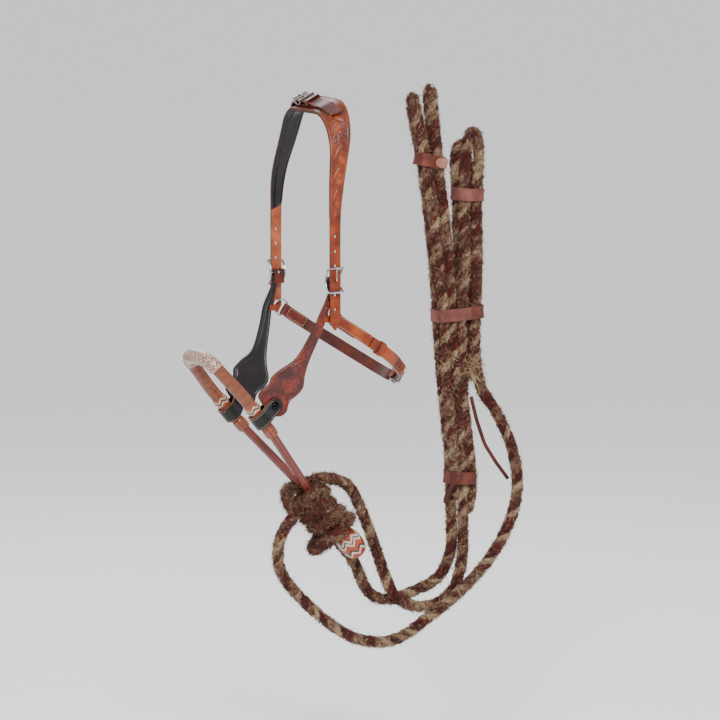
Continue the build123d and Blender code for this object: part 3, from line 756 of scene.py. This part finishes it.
def zigzag(bands, wave, count):
    """Herringbone bands of colour that zigzag round the tube, with painted shade darkening the grooves. bands
    are (width share, colour).
    """
    edges = np.cumsum([w for w, _ in bands])
    palette = np.array([c for _, c in bands])

    def colors(u, v, height, over, length):
        saw = np.abs(((v * count) % 1) * 2 - 1)
        at = (u / length + wave * saw) % 1.0 * edges[-1]
        pick = np.searchsorted(edges, at).clip(0, len(bands) - 1)
        # Painted shade: darker where the braid is lower, in the grooves.
        return palette[pick] * (0.5 + 0.5 * height)[..., None]

    return colors


def repeat_along(colors, pitch):
    """Repeats a pattern every so many millimetres along a tube."""

    def repeated(u, v, height, over, length):
        times = max(1.0, length / pitch)
        return colors(u * times % (length + 1e-6), v, height, over, length)

    return repeated


def stretch_of(line, flat, low, high, side):
    """The part of the bosal's line between two distances from the nose, on one side or round the nose."""
    keep = (flat[:, 0] >= low) & (flat[:, 0] <= high)
    if side == "near":
        keep &= flat[:, 1] < 0
    if side == "off":
        keep &= flat[:, 1] > 0
    return line[keep]


def rounded(line, radius, ends):
    """A radius that rolls in over the last few millimetres, ends, of a line both ways."""
    s = distances(line)
    near_end = np.minimum(s, s[-1] - s) / ends
    return radius - 1.8 * (1 - np.sqrt(1 - (1 - clamped(near_end)) ** 2))


HEEL_KNOT_SPAN = (346, 391.01)


def heel_knot():
    """The barrel knot below the wraps, with white and black zigzags over orange string."""
    d = np.arange(*HEEL_KNOT_SPAN, 0.6)
    line = np.array([around_bosal(along) for along in d])
    profile = [(346, 10.5), (350, 14.5), (357, 17.2), (368, 18), (380, 16.2), (387, 12.2), (391, 5.5)]
    radius = np.interp(d, *catmull(profile).T)
    orange, white, black = rgb(168, 62, 20), rgb(222, 206, 190), rgb(24, 16, 15)
    bands = [(2.2, orange), (0.7, white), (0.45, black), (0.7, white)]
    bands += [(1.6, orange), (0.6, black), (0.7, white), (1.4, orange)]
    return braided_tube("heel_knot_braid", line, radius, 0.9, 16, 3.4, zigzag(bands, 0.16, 7), 110)


def make_bosal():
    """The braided rawhide over the bosal's core: noseband, buttons, knots and shanks."""
    line, flat = bosal_line()
    white, pink = rgb(214, 194, 174), rgb(168, 98, 72)
    brown, orange = rgb(92, 36, 16), rgb(170, 76, 30)
    noseband = two_tone(rgb(166, 80, 28), rgb(70, 26, 8))
    herringbone = repeat_along(zigzag([(0.8, white), (0.6, pink), (0.5, white), (0.7, brown)], 0.45, 9), 7.5)
    chevron = zigzag([(1, orange), (0.5, white), (0.7, brown), (0.45, white)], 0.35, 5)
    knot = two_tone(rgb(164, 70, 22), rgb(104, 40, 12))
    shank = two_tone(rgb(150, 48, 34), rgb(78, 14, 10))
    # Node, from, to, side, radius, rolled ends, depth, strings, pitch, colours, facets
    stretches = [
        ("bosal_noseband", -20, 127, "", 9.15, 0, 0.5, 20, 3.0, noseband, 100),
        ("nose_button", -20, 17, "", 10.8, 5, 0.6, 12, 3.6, herringbone, 120),
    ]
    for side in SIDES:
        stretches += [
            (side + "_side_button", 85, 98.5, side, 10.8, 4, 0.5, 10, 3, chevron, 72),
            (side + "_lower_knot", 127.2, 146, side, 9.6, 7, 0.7, 8, 3.4, knot, 64),
            (side + "_shank", 127, 372, side, 6.3, 0, 0.45, 8, 3.6, shank, 56),
        ]
    pieces = {}
    for node, low, high, side, radius, ends, depth, strings, pitch, colors, facets in stretches:
        part = stretch_of(line, flat, low, high, side)
        if ends:
            radius = rounded(part, radius, ends)
        name = "noseband_braid" if node == "bosal_noseband" else node + "_braid"
        pieces[node] = braided_tube(name, part, radius, depth, strings, pitch, colors, facets)
    pieces["heel_knot"] = heel_knot()
    for node, piece in pieces.items():
        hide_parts(node)
        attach(piece, "bosal")


# ---- leather

# Sizes in millimetres. The crown's faces are measured out from its inner face
CROWN_OUTER_FACE = 8.0
CROWN_SEWN_FACE = 4.9
CROWN_TOOLED_END = -148
CROWN_PAD_THICK = 4.7
CHEEK_TIP = -428.0
CHEEK_LINING_THICK = 2.2
ROSE_RING = (14.2, 15.6)
SCREW_RING = 12.6
BEAD_RING = 17.0
BEAD_RADIUS = 3.7
UNDER_LOOP = 22
BORDER_INSET = 2.7
STITCH_SIDES = 6
# How far along the stitch each ring lies, and its share of the thread's radius
STITCH_RINGS = ((0.1, 0.3), (0.22, 1.0), (0.62, 1.0), (0.74, 0.3))


def side_sign(side):
    """Which way across the set a side lies."""
    return -1 if side == "near" else 1


def edge_at(points, z):
    """The x of an outline at heights z."""
    line = catmull(points)
    order = np.argsort(line[:, 1])
    return np.interp(z, line[order, 1], line[order, 0])


def arch_line(side):
    """The crown's inner face from the middle down one side, as (y, z) and the outward (y, z)."""
    flat = filleted(ARCH[side], ARCH_RADII[side], 0.8)
    tangent = unit(np.gradient(flat, axis=0))
    out = np.stack([-tangent[:, 1], tangent[:, 0]], axis=1)
    s = side_sign(side)
    return flat * [s, 1], out * [s, 1]


def crown_grid(side, lowest, offset, columns):
    """A grid across one half of the crown, offset from its inner face.

    Returns points, normals, each row's half width, the columns from -1 to 1 and the rows' distances.
    """
    flat, out = arch_line(side)
    keep = flat[:, 1] > lowest
    flat, out = flat[keep], out[keep]
    face = flat + out * offset
    t = np.linspace(-1, 1, columns)
    front = edge_at(CROWN_FRONT, face[:, 1] - 18 * POLL_SLOPE)
    rear = edge_at(CROWN_REAR, face[:, 1])
    for _ in range(4):
        rear = edge_at(CROWN_REAR, face[:, 1] + rear * POLL_SLOPE)
    half = (rear - front)[:, None] / 2
    x = (rear + front)[:, None] / 2 + t * half
    y = np.repeat(face[:, :1], columns, 1)
    z = face[:, 1:] + x * POLL_SLOPE
    level = np.zeros_like(x)
    normals = [level - POLL_SLOPE * out[:, 1:], level + out[:, :1], level + out[:, 1:]]
    normals = unit(np.stack(normals, axis=-1))
    return np.stack([x, y, z], axis=-1), normals, half, t, distances(face)


def leaf(u, w, cx, cy, angle, length, width):
    """A carved leaf about (cx, cy): 1 beside its middle, falling to 0 at its outline, with a cut vein."""
    a = radians(angle)
    x = (u - cx) * cos(a) + (w - cy) * sin(a)
    y = -(u - cx) * sin(a) + (w - cy) * cos(a)
    half = width / 2 * np.sqrt(clamped(1 - (2 * x / length) ** 2)) * (1 - 0.35 * x / (length / 2))
    inside = clamped(1 - np.abs(y) / np.maximum(half, 1e-3))
    vein = np.exp(-((y / 0.45) ** 2)) * (np.abs(x) < length * 0.42)
    return clamped(inside * 2.2) * (1 - 0.55 * vein)


def vine(u, w, length, half_width, pitch=15.0):
    """Leaves and a winding stem along a strap."""
    stem = 0.3 * half_width * np.sin(2 * np.pi * u / (2 * pitch))
    height = 0.7 * clamped(1 - np.abs(w - stem) / 1.1)
    for k in range(int(length / pitch) + 1):
        way = 1 if k % 2 else -1
        centre = pitch * (k + 0.5)
        reach = half_width * 0.45
        large = leaf(u, w, centre, way * reach, way * 38, pitch * 1.15, half_width * 0.75)
        small = leaf(u, w, centre + 5, -way * reach, -way * 70, pitch * 0.6, half_width * 0.5)
        height = np.maximum(np.maximum(height, large), 0.8 * small)
    return height


def carved(u, w, from_edge, pattern):
    """Border lines, a stitching channel and a matted ground round a carved pattern."""
    field = clamped((from_edge - 4.2) / 0.5)
    groove = np.exp(-(((from_edge - 4.3) / 0.45) ** 2))
    swirl = np.sin(u * 0.95 + 1.8 * np.sin(w * 0.6)) * np.sin(w * 1.05 + 1.9 * np.sin(u * 0.5))
    ground = 0.5 * clamped(np.abs(swirl) * 2.2 - 0.35)
    raised = 0.66 * (1 - field) + field * np.maximum(pattern, ground)
    return clamped(raised * (1 - 0.85 * groove))


def antiqued(height, dark):
    """Light on the raised leather, dark dye in the cuts."""
    shade = dark + (1.08 - dark) * clamped(height * 1.3)
    return np.repeat(shade[..., None], 3, axis=-1)


def relief_mesh(name, points, normals, height, inside, tint):
    """An open skin of carved relief just over a leather face. inside masks its outline."""
    raised = points + normals * (0.06 + height * inside)[..., None]
    raised = np.where((inside > 0.02)[..., None], raised, points - normals * 0.1)
    obj = new_mesh(name, raised.reshape(-1, 3).tolist(), grid_faces(*height.shape), "russet")
    paint(obj, tint.reshape(-1, 3))
    return obj


def crown_tooling(side):
    """Carved vine between two borders on the crown's outer face, down to where the billet starts."""
    points, normals, half, t, s = crown_grid(side, CROWN_TOOLED_END, CROWN_OUTER_FACE, 64)
    w = t * half
    u = np.repeat(s[:, None], len(t), axis=1)
    from_edge = half - np.abs(w)
    height = carved(u, w, from_edge, vine(u, w, s[-1], 8.5))
    lowest = clamped((points[..., 2] - CROWN_TOOLED_END - 2) / 4)
    inside = clamped((from_edge - 0.6) / 0.5) * lowest
    poll = clamped(1.3 - u / 70)
    tint = antiqued(height, 0.36) * (1 - 0.62 * poll[..., None])
    skin = relief_mesh(side + "_crown_tooling", points, normals, height * 0.95, inside, tint)
    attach(skin, "headstall")
    border_stitches(side + "_crown_stitch", points, normals, from_edge)


def border_stitches(name, points, normals, from_edge):
    """Short dark stitches along both borders of the crown's grid of points."""
    rows, columns = from_edge.shape
    lines = []
    for span in (range(columns // 2), range(columns - 1, columns // 2, -1)):
        picked = []
        for i in range(rows):
            j = min(span, key=lambda k: abs(from_edge[i, k] - BORDER_INSET))
            picked.append(np.concatenate([points[i, j] + normals[i, j] * 0.72, normals[i, j]]))
        lines.append(resample(picked, 2.6))
    stitches(name, lines, "headstall", "dark_thread", 0.36)


def stitches(name, lines, body, material, thick):
    """Stitches laid along lines of (x, y, z, normal): each a small capsule with a gap after it."""
    vertices, faces = [], []
    for line in lines:
        for a, b in zip(line, line[1:]):
            along = b[:3] - a[:3]
            length = np.linalg.norm(along)
            if length < 0.5:
                continue
            along = along / length
            across = unit(np.cross(along, a[3:]))
            rise = np.cross(across, along)
            faces += tube_faces(len(STITCH_RINGS), STITCH_SIDES, len(vertices))
            for t, r in STITCH_RINGS:
                for k in range(STITCH_SIDES):
                    q = 2 * pi * k / STITCH_SIDES
                    ring = across * cos(q) + rise * sin(q)
                    vertices.append(a[:3] + along * length * t + ring * thick * r)
    obj = new_mesh(name, vertices, faces, material)
    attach(obj, body)


def padded_strip(name, top, thickness, across, material):
    """A closed pad from a grid of points on one face, across to the other face by a grid of thicknesses."""
    rows, columns = thickness.shape
    under = top + across * thickness[..., None]
    vertices = top.reshape(-1, 3).tolist() + under.reshape(-1, 3).tolist()
    count = rows * columns
    faces = [tuple(reversed(f)) for f in grid_faces(rows, columns)]
    faces += grid_faces(rows, columns, count)
    rim = [i * columns for i in range(rows)] + [(rows - 1) * columns + j for j in range(1, columns)]
    rim += [i * columns + columns - 1 for i in range(rows - 2, -1, -1)] + list(range(columns - 2, 0, -1))
    for a, b in zip(rim, rim[1:] + rim[:1]):
        faces.append((a, b, b + count, a + count))
    obj = new_mesh(name, vertices, faces, material)
    face_outward(obj)
    return obj


def lining(name, node, top, thickness, normals, shade):
    """A black padded lining, painted on both its faces with a grid of greys that gives it painted shade and
    painted highlight.
    """
    pad = padded_strip(name, top, thickness, -normals, "black")
    paint(pad, np.tile(shade.ravel(), 2)[:, None])
    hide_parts(node)
    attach(pad, "headstall")


def crown_pad(side):
    """The quilted lining under the crown: a raised middle between two sewn channels and rolled edges."""
    top, normals, _, t, s = crown_grid(side, CROWN_PAD_END, CROWN_SEWN_FACE, 45)
    channel = np.exp(-(((np.abs(t) - 0.6) / 0.1) ** 2))
    edge = np.sqrt(np.clip(1 - np.abs(t) ** 6, 0.03, 1))
    thickness = np.ones((len(s), 1)) * (CROWN_PAD_THICK * edge - 2.4 * channel - 0.5 * (np.abs(t) > 0.6))
    thickness = thickness * np.clip((s[-1] - s)[:, None] / 4, 0.3, 1)
    # Painted shade where the pad is thin, in the sewn channels, at the rolled edges and at its end, and a
    # painted highlight on the thick raised middle.
    shade = 0.55 + 0.6 * clamped(thickness / CROWN_PAD_THICK)
    lining(side + "_crown_padding", side + "_crown_pad", top, thickness, normals, shade)


def cheek_grid(side, columns, inset_front, inset_rear, step):
    """Rows across the cheek from the buckle to the tip, set in from its edges: x, y, z and the normals."""
    z = np.arange(CHEEK_LINE[side], CHEEK_TIP, -step)
    front = edge_at(CHEEK_FRONT, z) + inset_front
    rear = np.maximum(edge_at(CHEEK_REAR, z) - inset_rear, front + 0.6)
    t = np.linspace(0, 1, columns)
    x = front[:, None] * (1 - t) + rear[:, None] * t
    bend = filleted([(86.8, CHEEK_LINE[side] + 1)] + CHEEK_BEND, CHEEK_BEND_RADII, 1.0)
    order = np.argsort(bend[:, 1])
    y = np.interp(z, bend[order, 1], bend[order, 0])
    slope = np.gradient(y, z)
    out = unit(np.stack([np.ones_like(slope), -slope], axis=1))
    s = side_sign(side)
    level = np.zeros_like(x)
    normals = np.stack([level, level + s * out[:, :1], level + out[:, 1:]], axis=-1)
    return x, level + (s * y)[:, None], level + z[:, None], normals


def distance_to_outline(x, z):
    """How far each point is from the cheek's outline."""
    loop = np.concatenate([catmull(CHEEK_FRONT, 8), catmull(CHEEK_REAR, 8)[::-1]])
    points = np.stack([x.ravel(), z.ravel()], axis=1)
    best = np.full(len(points), 1e9)
    for a, b in zip(loop, np.roll(loop, -1, axis=0)):
        ab = b - a
        t = clamped(((points - a) @ ab) / max(float(ab @ ab), 1e-9))
        best = np.minimum(best, np.linalg.norm(points - (a + t[:, None] * ab), axis=1))
    return best.reshape(x.shape)


def rose(x, z):
    """A carved rose of three rings of petals, and each point's distance from its middle."""
    dx, dz = x - ROSE[0], z - ROSE[1]
    r, a = np.hypot(dx, dz), np.arctan2(dz, dx)
    height = np.zeros_like(r)
    # Each ring's outer and inner radius, petals, turn and height
    for reach, low, count, turn, top in ((14, 7, 5, 0.2, 0.8), (9.5, 4, 5, 0.8, 0.95), (5, 0, 4, 0.3, 1.0)):
        lobe = (a * count / (2 * np.pi) + turn) % 1
        edge = reach * (0.82 + 0.18 * np.sin(np.pi * lobe))
        petal = clamped((edge - r) / 1.2) * (r > low - 2) * (0.45 + 0.55 * np.sin(np.pi * lobe) ** 0.5)
        cup = 0.55 + 0.45 * clamped((r - low) / (reach - low))
        height = np.maximum(height * (r >= reach * 0.98), petal * cup * top)
    return height, r


def from_hinge(x, z):
    """How far points lie from the hanger screw."""
    return np.hypot(x - HINGE[0], z - HINGE[1])


def beads(x, z):
    """A ring of round petals about the hanger screw."""
    height = np.zeros_like(x)
    for k in range(10):
        a = radians(-62 + 26 * k)
        cx, cz = HINGE[0] + BEAD_RING * cos(a), HINGE[1] + BEAD_RING * sin(a)
        r = np.hypot(x - cx, z - cz)
        dome = np.sqrt(clamped(1 - (r / BEAD_RADIUS) ** 2))
        height = np.maximum(height, dome * (1 - 0.5 * np.exp(-((r / 1.1) ** 2))))
    return height


def cheek_pattern(side, x, z, from_edge):
    """The cheek's carving: a vine with a rose in the widest part and beads about the hanger screw."""
    u, w = CHEEK_LINE[side] - z, x - centre_line(z)
    flower, r_rose = rose(x, z)
    r_hinge = from_hinge(x, z)
    pattern = np.where(r_rose < 15.5, flower, vine(u, w, 190, 8.0, 13.0))
    circle = 0.5 * (np.abs(r_hinge - SCREW_RING) < 0.6)
    pattern = np.where(r_hinge < UNDER_LOOP, np.maximum(beads(x, z), circle), pattern)
    height = carved(u, w, from_edge + 1.2, pattern)
    return np.where((r_rose > ROSE_RING[0]) & (r_rose < ROSE_RING[1]), 0.1, height)


def cheek_tooling(side):
    """The cheek's carved outer leather, set in from the lining's front edge."""
    x, y, z, normals = cheek_grid(side, 120, 2.3, 0.4, 0.7)
    front_gap = np.clip(x - x[:, :1], 0, None)
    from_edge = np.minimum(distance_to_outline(x, z), front_gap + 0.9)
    height = cheek_pattern(side, x, z, from_edge)
    r_hinge = from_hinge(x, z)
    under_loop = (z < HINGE[1] - 2) & (r_hinge < 24) | (r_hinge < 12)
    relief = np.where(under_loop, np.minimum(height * 0.25, 0.2), height)
    width = x[:, -1:] - x[:, :1]
    edge = clamped(from_edge / 0.9) * clamped(width / 6)
    top = np.stack([x, y, z], axis=-1) + normals * (2.1 + (0.7 + 0.9 * relief) * edge)[..., None]
    shell = padded_strip(side + "_cheek_tooled", top, 2.2 + 0.6 * edge, -normals, "mahogany")
    tint = antiqued(height, 0.26).reshape(-1, 3)
    back = np.tile([0.9, 0.8, 0.8], (len(tint), 1))
    paint(shell, np.concatenate([tint, back]))
    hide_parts(side + "_cheek_outer")
    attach(shell, "headstall")
    pale_line(side, x, y, z, normals)


def pale_line(side, x, y, z, normals):
    """The pale cut edge of the outer leather, seen between it and the black lining along the front."""
    rows = range(4, len(x) - 6, 3)
    points = [np.array([x[i, 0] - 0.3, y[i, 0], z[i, 0]]) + normals[i, 0] * 1.1 for i in rows]
    line = resample(points, 1.5)
    _, normal, across = frames(line)
    angles = np.arange(0, 2 * pi, pi / 3)
    ring = [normal * cos(a) * 0.5 + across * sin(a) * 0.5 for a in angles]
    vertices = (line[:, None] + np.stack(ring, axis=1)).reshape(-1, 3).tolist()
    edge = new_mesh(side + "_cheek_cut_edge", vertices, tube_faces(len(line), len(ring)), "cut_edge")
    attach(edge, "headstall")


def centre_line(z):
    """The x of the line down the middle of the cheek, at heights z."""
    heights = np.arange(CHEEK_TIP, -225, 2.0)
    middle = (edge_at(CHEEK_FRONT, heights) + edge_at(CHEEK_REAR, heights)) / 2
    return np.interp(z, heights, middle)


def cheek_padding(side):
    """The black quilted lining of the cheek, rolled at its edges with a sewn line inside them."""
    x, y, z, normals = cheek_grid(side, 64, 0.0, 0.0, 1.0)
    from_edge = distance_to_outline(x, z)
    front_roll = clamped(1 - (x - x[:, :1]) / 2.4)
    top = np.stack([x, y, z], axis=-1) + normals * (1.9 * front_roll - 0.3)[..., None]
    roll = np.sqrt(clamped(1 - (1 - clamped(from_edge / 2.6)) ** 2))
    seam = np.exp(-(((from_edge - 4.2) / 0.8) ** 2))
    thickness = 0.35 + 1.85 * roll - 1.0 * seam
    thickness[0] = thickness[-1] = 0.3
    near_screw = from_hinge(x, z) < UNDER_LOOP
    thickness = np.where(near_screw, np.minimum(thickness, CHEEK_LINING_THICK), thickness)
    # Painted shade in the sewn line and at the thin outline, and a little painted highlight where the lining
    # is full.
    shade = 0.55 + 0.55 * clamped(thickness / CHEEK_LINING_THICK)
    lining(side + "_cheek_padding", side + "_cheek_lining", top, thickness, normals, shade)


# ---- ties and straps

TIE_WIDTH = 18.0
TIE_WALL = 1.9
TIE_ROWS = 13
TIE_COLUMNS = 96
PINK_TIE = (1.3, 1.15, 1.2)
BROWN_TIE = (0.9, 0.55, 0.42)
# A strap's eight corners, as shares of its half width and half thickness
STRAP_SECTION = ((-1, -0.7), (-0.92, -1), (0.92, -1), (1, -0.7), (1, 0.7), (0.92, 1), (-0.92, 1), (-1, 0.7))


def tie_radii(a, h, layer, half_width, half_depth):
    """A tie's two radii at an angle and a height, squarish, waisted and uneven. Layer 1 is its inside."""
    waist = 0.3 * cos(pi * 2 * h / TIE_WIDTH)
    pinch = 0.2 * sin(5 * a + layer) + 0.2 * cos(3 * a) - waist
    square = (abs(cos(a)) ** 3.2 + abs(sin(a)) ** 3.2) ** (-1 / 3.2)
    wall = layer * TIE_WALL
    return (half_width - wall) * square + pinch, (half_depth - wall) * square + pinch


def tie_band(name, x, z, half_width, half_depth, tilt, node, browner_from=1000.0):
    """A flat leather strap round the rope, tilted by degrees, and browner past a given x."""
    lean = np.array([cos(radians(tilt)), 0, -sin(radians(tilt))])
    up = np.array([sin(radians(tilt)), 0, cos(radians(tilt))])
    centre = np.array([x, 0, z])
    vertices = []
    for layer in (0, 1):
        for i in range(TIE_ROWS):
            h = (i / (TIE_ROWS - 1) - 0.5) * TIE_WIDTH
            for k in range(TIE_COLUMNS):
                a = 2 * pi * k / TIE_COLUMNS
                rx, ry = tie_radii(a, h, layer, half_width, half_depth)
                deep = np.array([0, ry * sin(a), 0])
                vertices.append(centre + lean * rx * cos(a) + deep + up * h)
    count = TIE_ROWS * TIE_COLUMNS
    faces = grid_faces(TIE_ROWS, TIE_COLUMNS, 0, wrap=True)
    faces += [tuple(reversed(f)) for f in grid_faces(TIE_ROWS, TIE_COLUMNS, count, wrap=True)]
    for start in (0, count - TIE_COLUMNS):
        for k in range(TIE_COLUMNS):
            a, b = start + k, start + (k + 1) % TIE_COLUMNS
            faces.append((a, a + count, b + count, b))
    obj = new_mesh(name, vertices, faces, "tie")
    paint(obj, np.where(np.array(vertices)[:, :1] > browner_from, BROWN_TIE, PINK_TIE))
    face_outward(obj)
    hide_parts(node)
    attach(obj, "headstall")


def strap_ribbon(name, points, across, width, thick, material, tip):
    """A flat strap along points, narrowing over the last few millimetres to its tip."""
    line = resample(catmull(points, 12), 1.2)
    s = distances(line)
    half = width / 2 * np.sqrt(1 - (1 - np.clip((s[-1] - s) / tip, 0.01, 1)) ** 2)
    vertices = []
    for p, t, h in zip(line, unit(np.gradient(line, axis=0)), half):
        side = unit(np.array(across, float) - t * (np.array(across) @ t))
        up = np.cross(t, side)
        vertices += [p + side * h * a + up * thick / 2 * b for a, b in STRAP_SECTION]
    obj = new_mesh(name, vertices, tube_faces(len(line), len(STRAP_SECTION)), material)
    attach(obj, "headstall")


def make_ties():
    """The four flat ties of the hank, the turned end of one and the hanging tail of another."""
    tie_band("tie_left_band", 186, -82, 21.5, 18, 12, "tie_left", browner_from=0)
    tie_band("tie_right_band", 247, -132, 22.5, 19.5, 4, "tie_right")
    tie_band("tie_wide_band", 231, -302, 39, 21.5, -3, "tie_wide", browner_from=243)
    tie_band("tie_low_band", 235, -539, 21.5, 20, 3, "tie_low", browner_from=0)
    flap = [(205, -17.6, -86.1), (199, -19.2, -84.8), (193, -19.3, -83.5), (186, -19.2, -82.0)]
    strap_ribbon("tie_left_end", flap, (0.2, 0, 0.98), 14, 1.8, "cut_edge", 8)
    tail = [(226, -19.5, -534), (218, -20.5, -543), (209, -18, -556), (202, -16, -573)]
    strap_ribbon("tie_low_tail", tail, (0.8, 0, 0.6), 9, 2, "mahogany_plain", 14)


# ---- carried-over CAD pieces


def dress(node, material, *rules):
    """Gives a CAD node its material, and others to the faces that (material, test) rules pick."""
    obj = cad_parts[node]
    obj.data.materials.clear()
    for each in (material, *(other for other, _ in rules)):
        obj.data.materials.append(MATERIALS[each])
    for polygon in obj.data.polygons:
        centre = obj.matrix_world @ polygon.center
        picked = [i for i, (_, test) in enumerate(rules, 1) if test(centre, polygon.normal)]
        polygon.material_index = max(picked, default=0)


def edge_faces(way):
    """Picks the cut edges of a strap, whose faces point along way."""
    return lambda centre, normal: abs(normal.dot(Vector(way))) > 0.7


def inner_faces(centre, normal):
    """Picks the faces that look in towards the set's middle plane."""
    return normal.y * centre.y < 0 and abs(normal.y) > 0.3


def loop_stitches(side):
    """Pale stitching along both edges of a hanger loop, on its outer leaf and round the bosal."""
    s = side_sign(side)
    forward, along = np.array(-BOSAL_NORMAL), np.array(BOSAL_ALONG)
    hinge = np.array([HINGE[0], 0, HINGE[1]])
    flat = [(-2, 57.85), (9, 57.95), (13, 59.6), (19, 62.2), (26.6, 62.3)]
    flat += [(26.6 + 13.35 * cos(a), 48.9 + 13.35 * sin(a)) for a in np.linspace(1.35, -1.2, 12)]
    lines = []
    for w in (-8.3, 8.3):
        points = []
        for (e, y), (e2, y2) in zip(flat, flat[1:]):
            run = np.array([e2 - e, y2 - y]) / hypot(e2 - e, y2 - y)
            out = forward * -run[1] + np.array([0, s * run[0], 0])
            place = hinge + forward * e + np.array([0, s * y, 0])
            points.append(np.concatenate([place + along * w, out]))
        lines.append(resample(points, 2.3))
    stitches(side + "_loop_stitch", lines, "bosal", "thread", 0.28)


def throat_point(along, across, up):
    """A point of the throat strap's plane and the normal of its near face, for stitching."""
    place = np.array(THROAT_ORIGIN + THROAT_ALONG * along + THROAT_NORMAL * up) + np.array([0, across, 0])
    return np.concatenate([place, [0, -1, 0]])


def throat_stitches():
    """The stitched folds that hold the throat strap's two parts round their rings."""
    near = [(9, -90.6), (17, -90.9), (26, -93.2), (46, -97.9), (58, -98.3)]
    off = [(12, 80.9), (21, 80.8), (30, 79.8), (42, 78.2)]
    for side, run in (("near", near), ("off", off)):
        lines = [resample([throat_point(t, y, w) for t, y in run], 2.4) for w in (-6.1, 6.1)]
        if side == "off":
            lines += [resample([throat_point(t, y, w) for w in (-6, 6)], 2.4) for t, y in (off[0], off[-1])]
        stitches(side + "_throat_stitch", lines, "throat_strap", "thread", 0.3)


# Materials of the CAD pieces of each side, and of those in the middle
SIDE_PIECES = {
    "steel": ("cheek_buckle", "cheek_buckle_tongue", "ring"),
    "russet_plain": ("ring_tab",),
    "mahogany_plain": ("buckle_chape",),
    "gloss_black": ("hanger_screw", "screw_cap"),
}
MIDDLE_PIECES = {
    "antique": ("throat_buckle", "throat_buckle_tongue", "poll_buckle", "poll_buckle_tongue"),
    "russet_plain": ("throat_keeper",),
    "mahogany_plain": ("poll_keeper", "bosal_core", "mecate_popper"),
}


def dress_all(pieces, prefix=""):
    """Gives whole CAD nodes their materials."""
    for material, nodes in pieces.items():
        for node in nodes:
            dress(prefix + node, material)


def dress_cad():
    """Materials for the CAD pieces that are seen as they are, and the stitching on them."""
    cut_sides = edge_faces((1, 0, 0))
    for side in SIDES:
        dress_all(SIDE_PIECES, side + "_")
        dress(side + "_crown_outer", "russet_plain", ("flesh", inner_faces), ("mahogany_plain", cut_sides))
        dress(side + "_hanger_loop", "black_plain", ("cut_edge", edge_faces(BOSAL_ALONG)))
        loop_stitches(side)
    dress_all(MIDDLE_PIECES)
    dress("throat_buckle_strap", "russet_plain", ("mahogany_plain", edge_faces(THROAT_NORMAL)))
    dress("throat_billet", "russet_plain", ("mahogany_plain", inner_faces))
    dress("poll_chape", "russet_plain", ("cut_edge", cut_sides))
    dress("poll_billet", "mahogany_plain", ("cut_edge", cut_sides))
    throat_stitches()


make_camera()
make_ropes()
make_studio()
make_bosal()
for side in SIDES:
    crown_tooling(side)
    crown_pad(side)
    cheek_tooling(side)
    cheek_padding(side)
make_ties()
dress_cad()
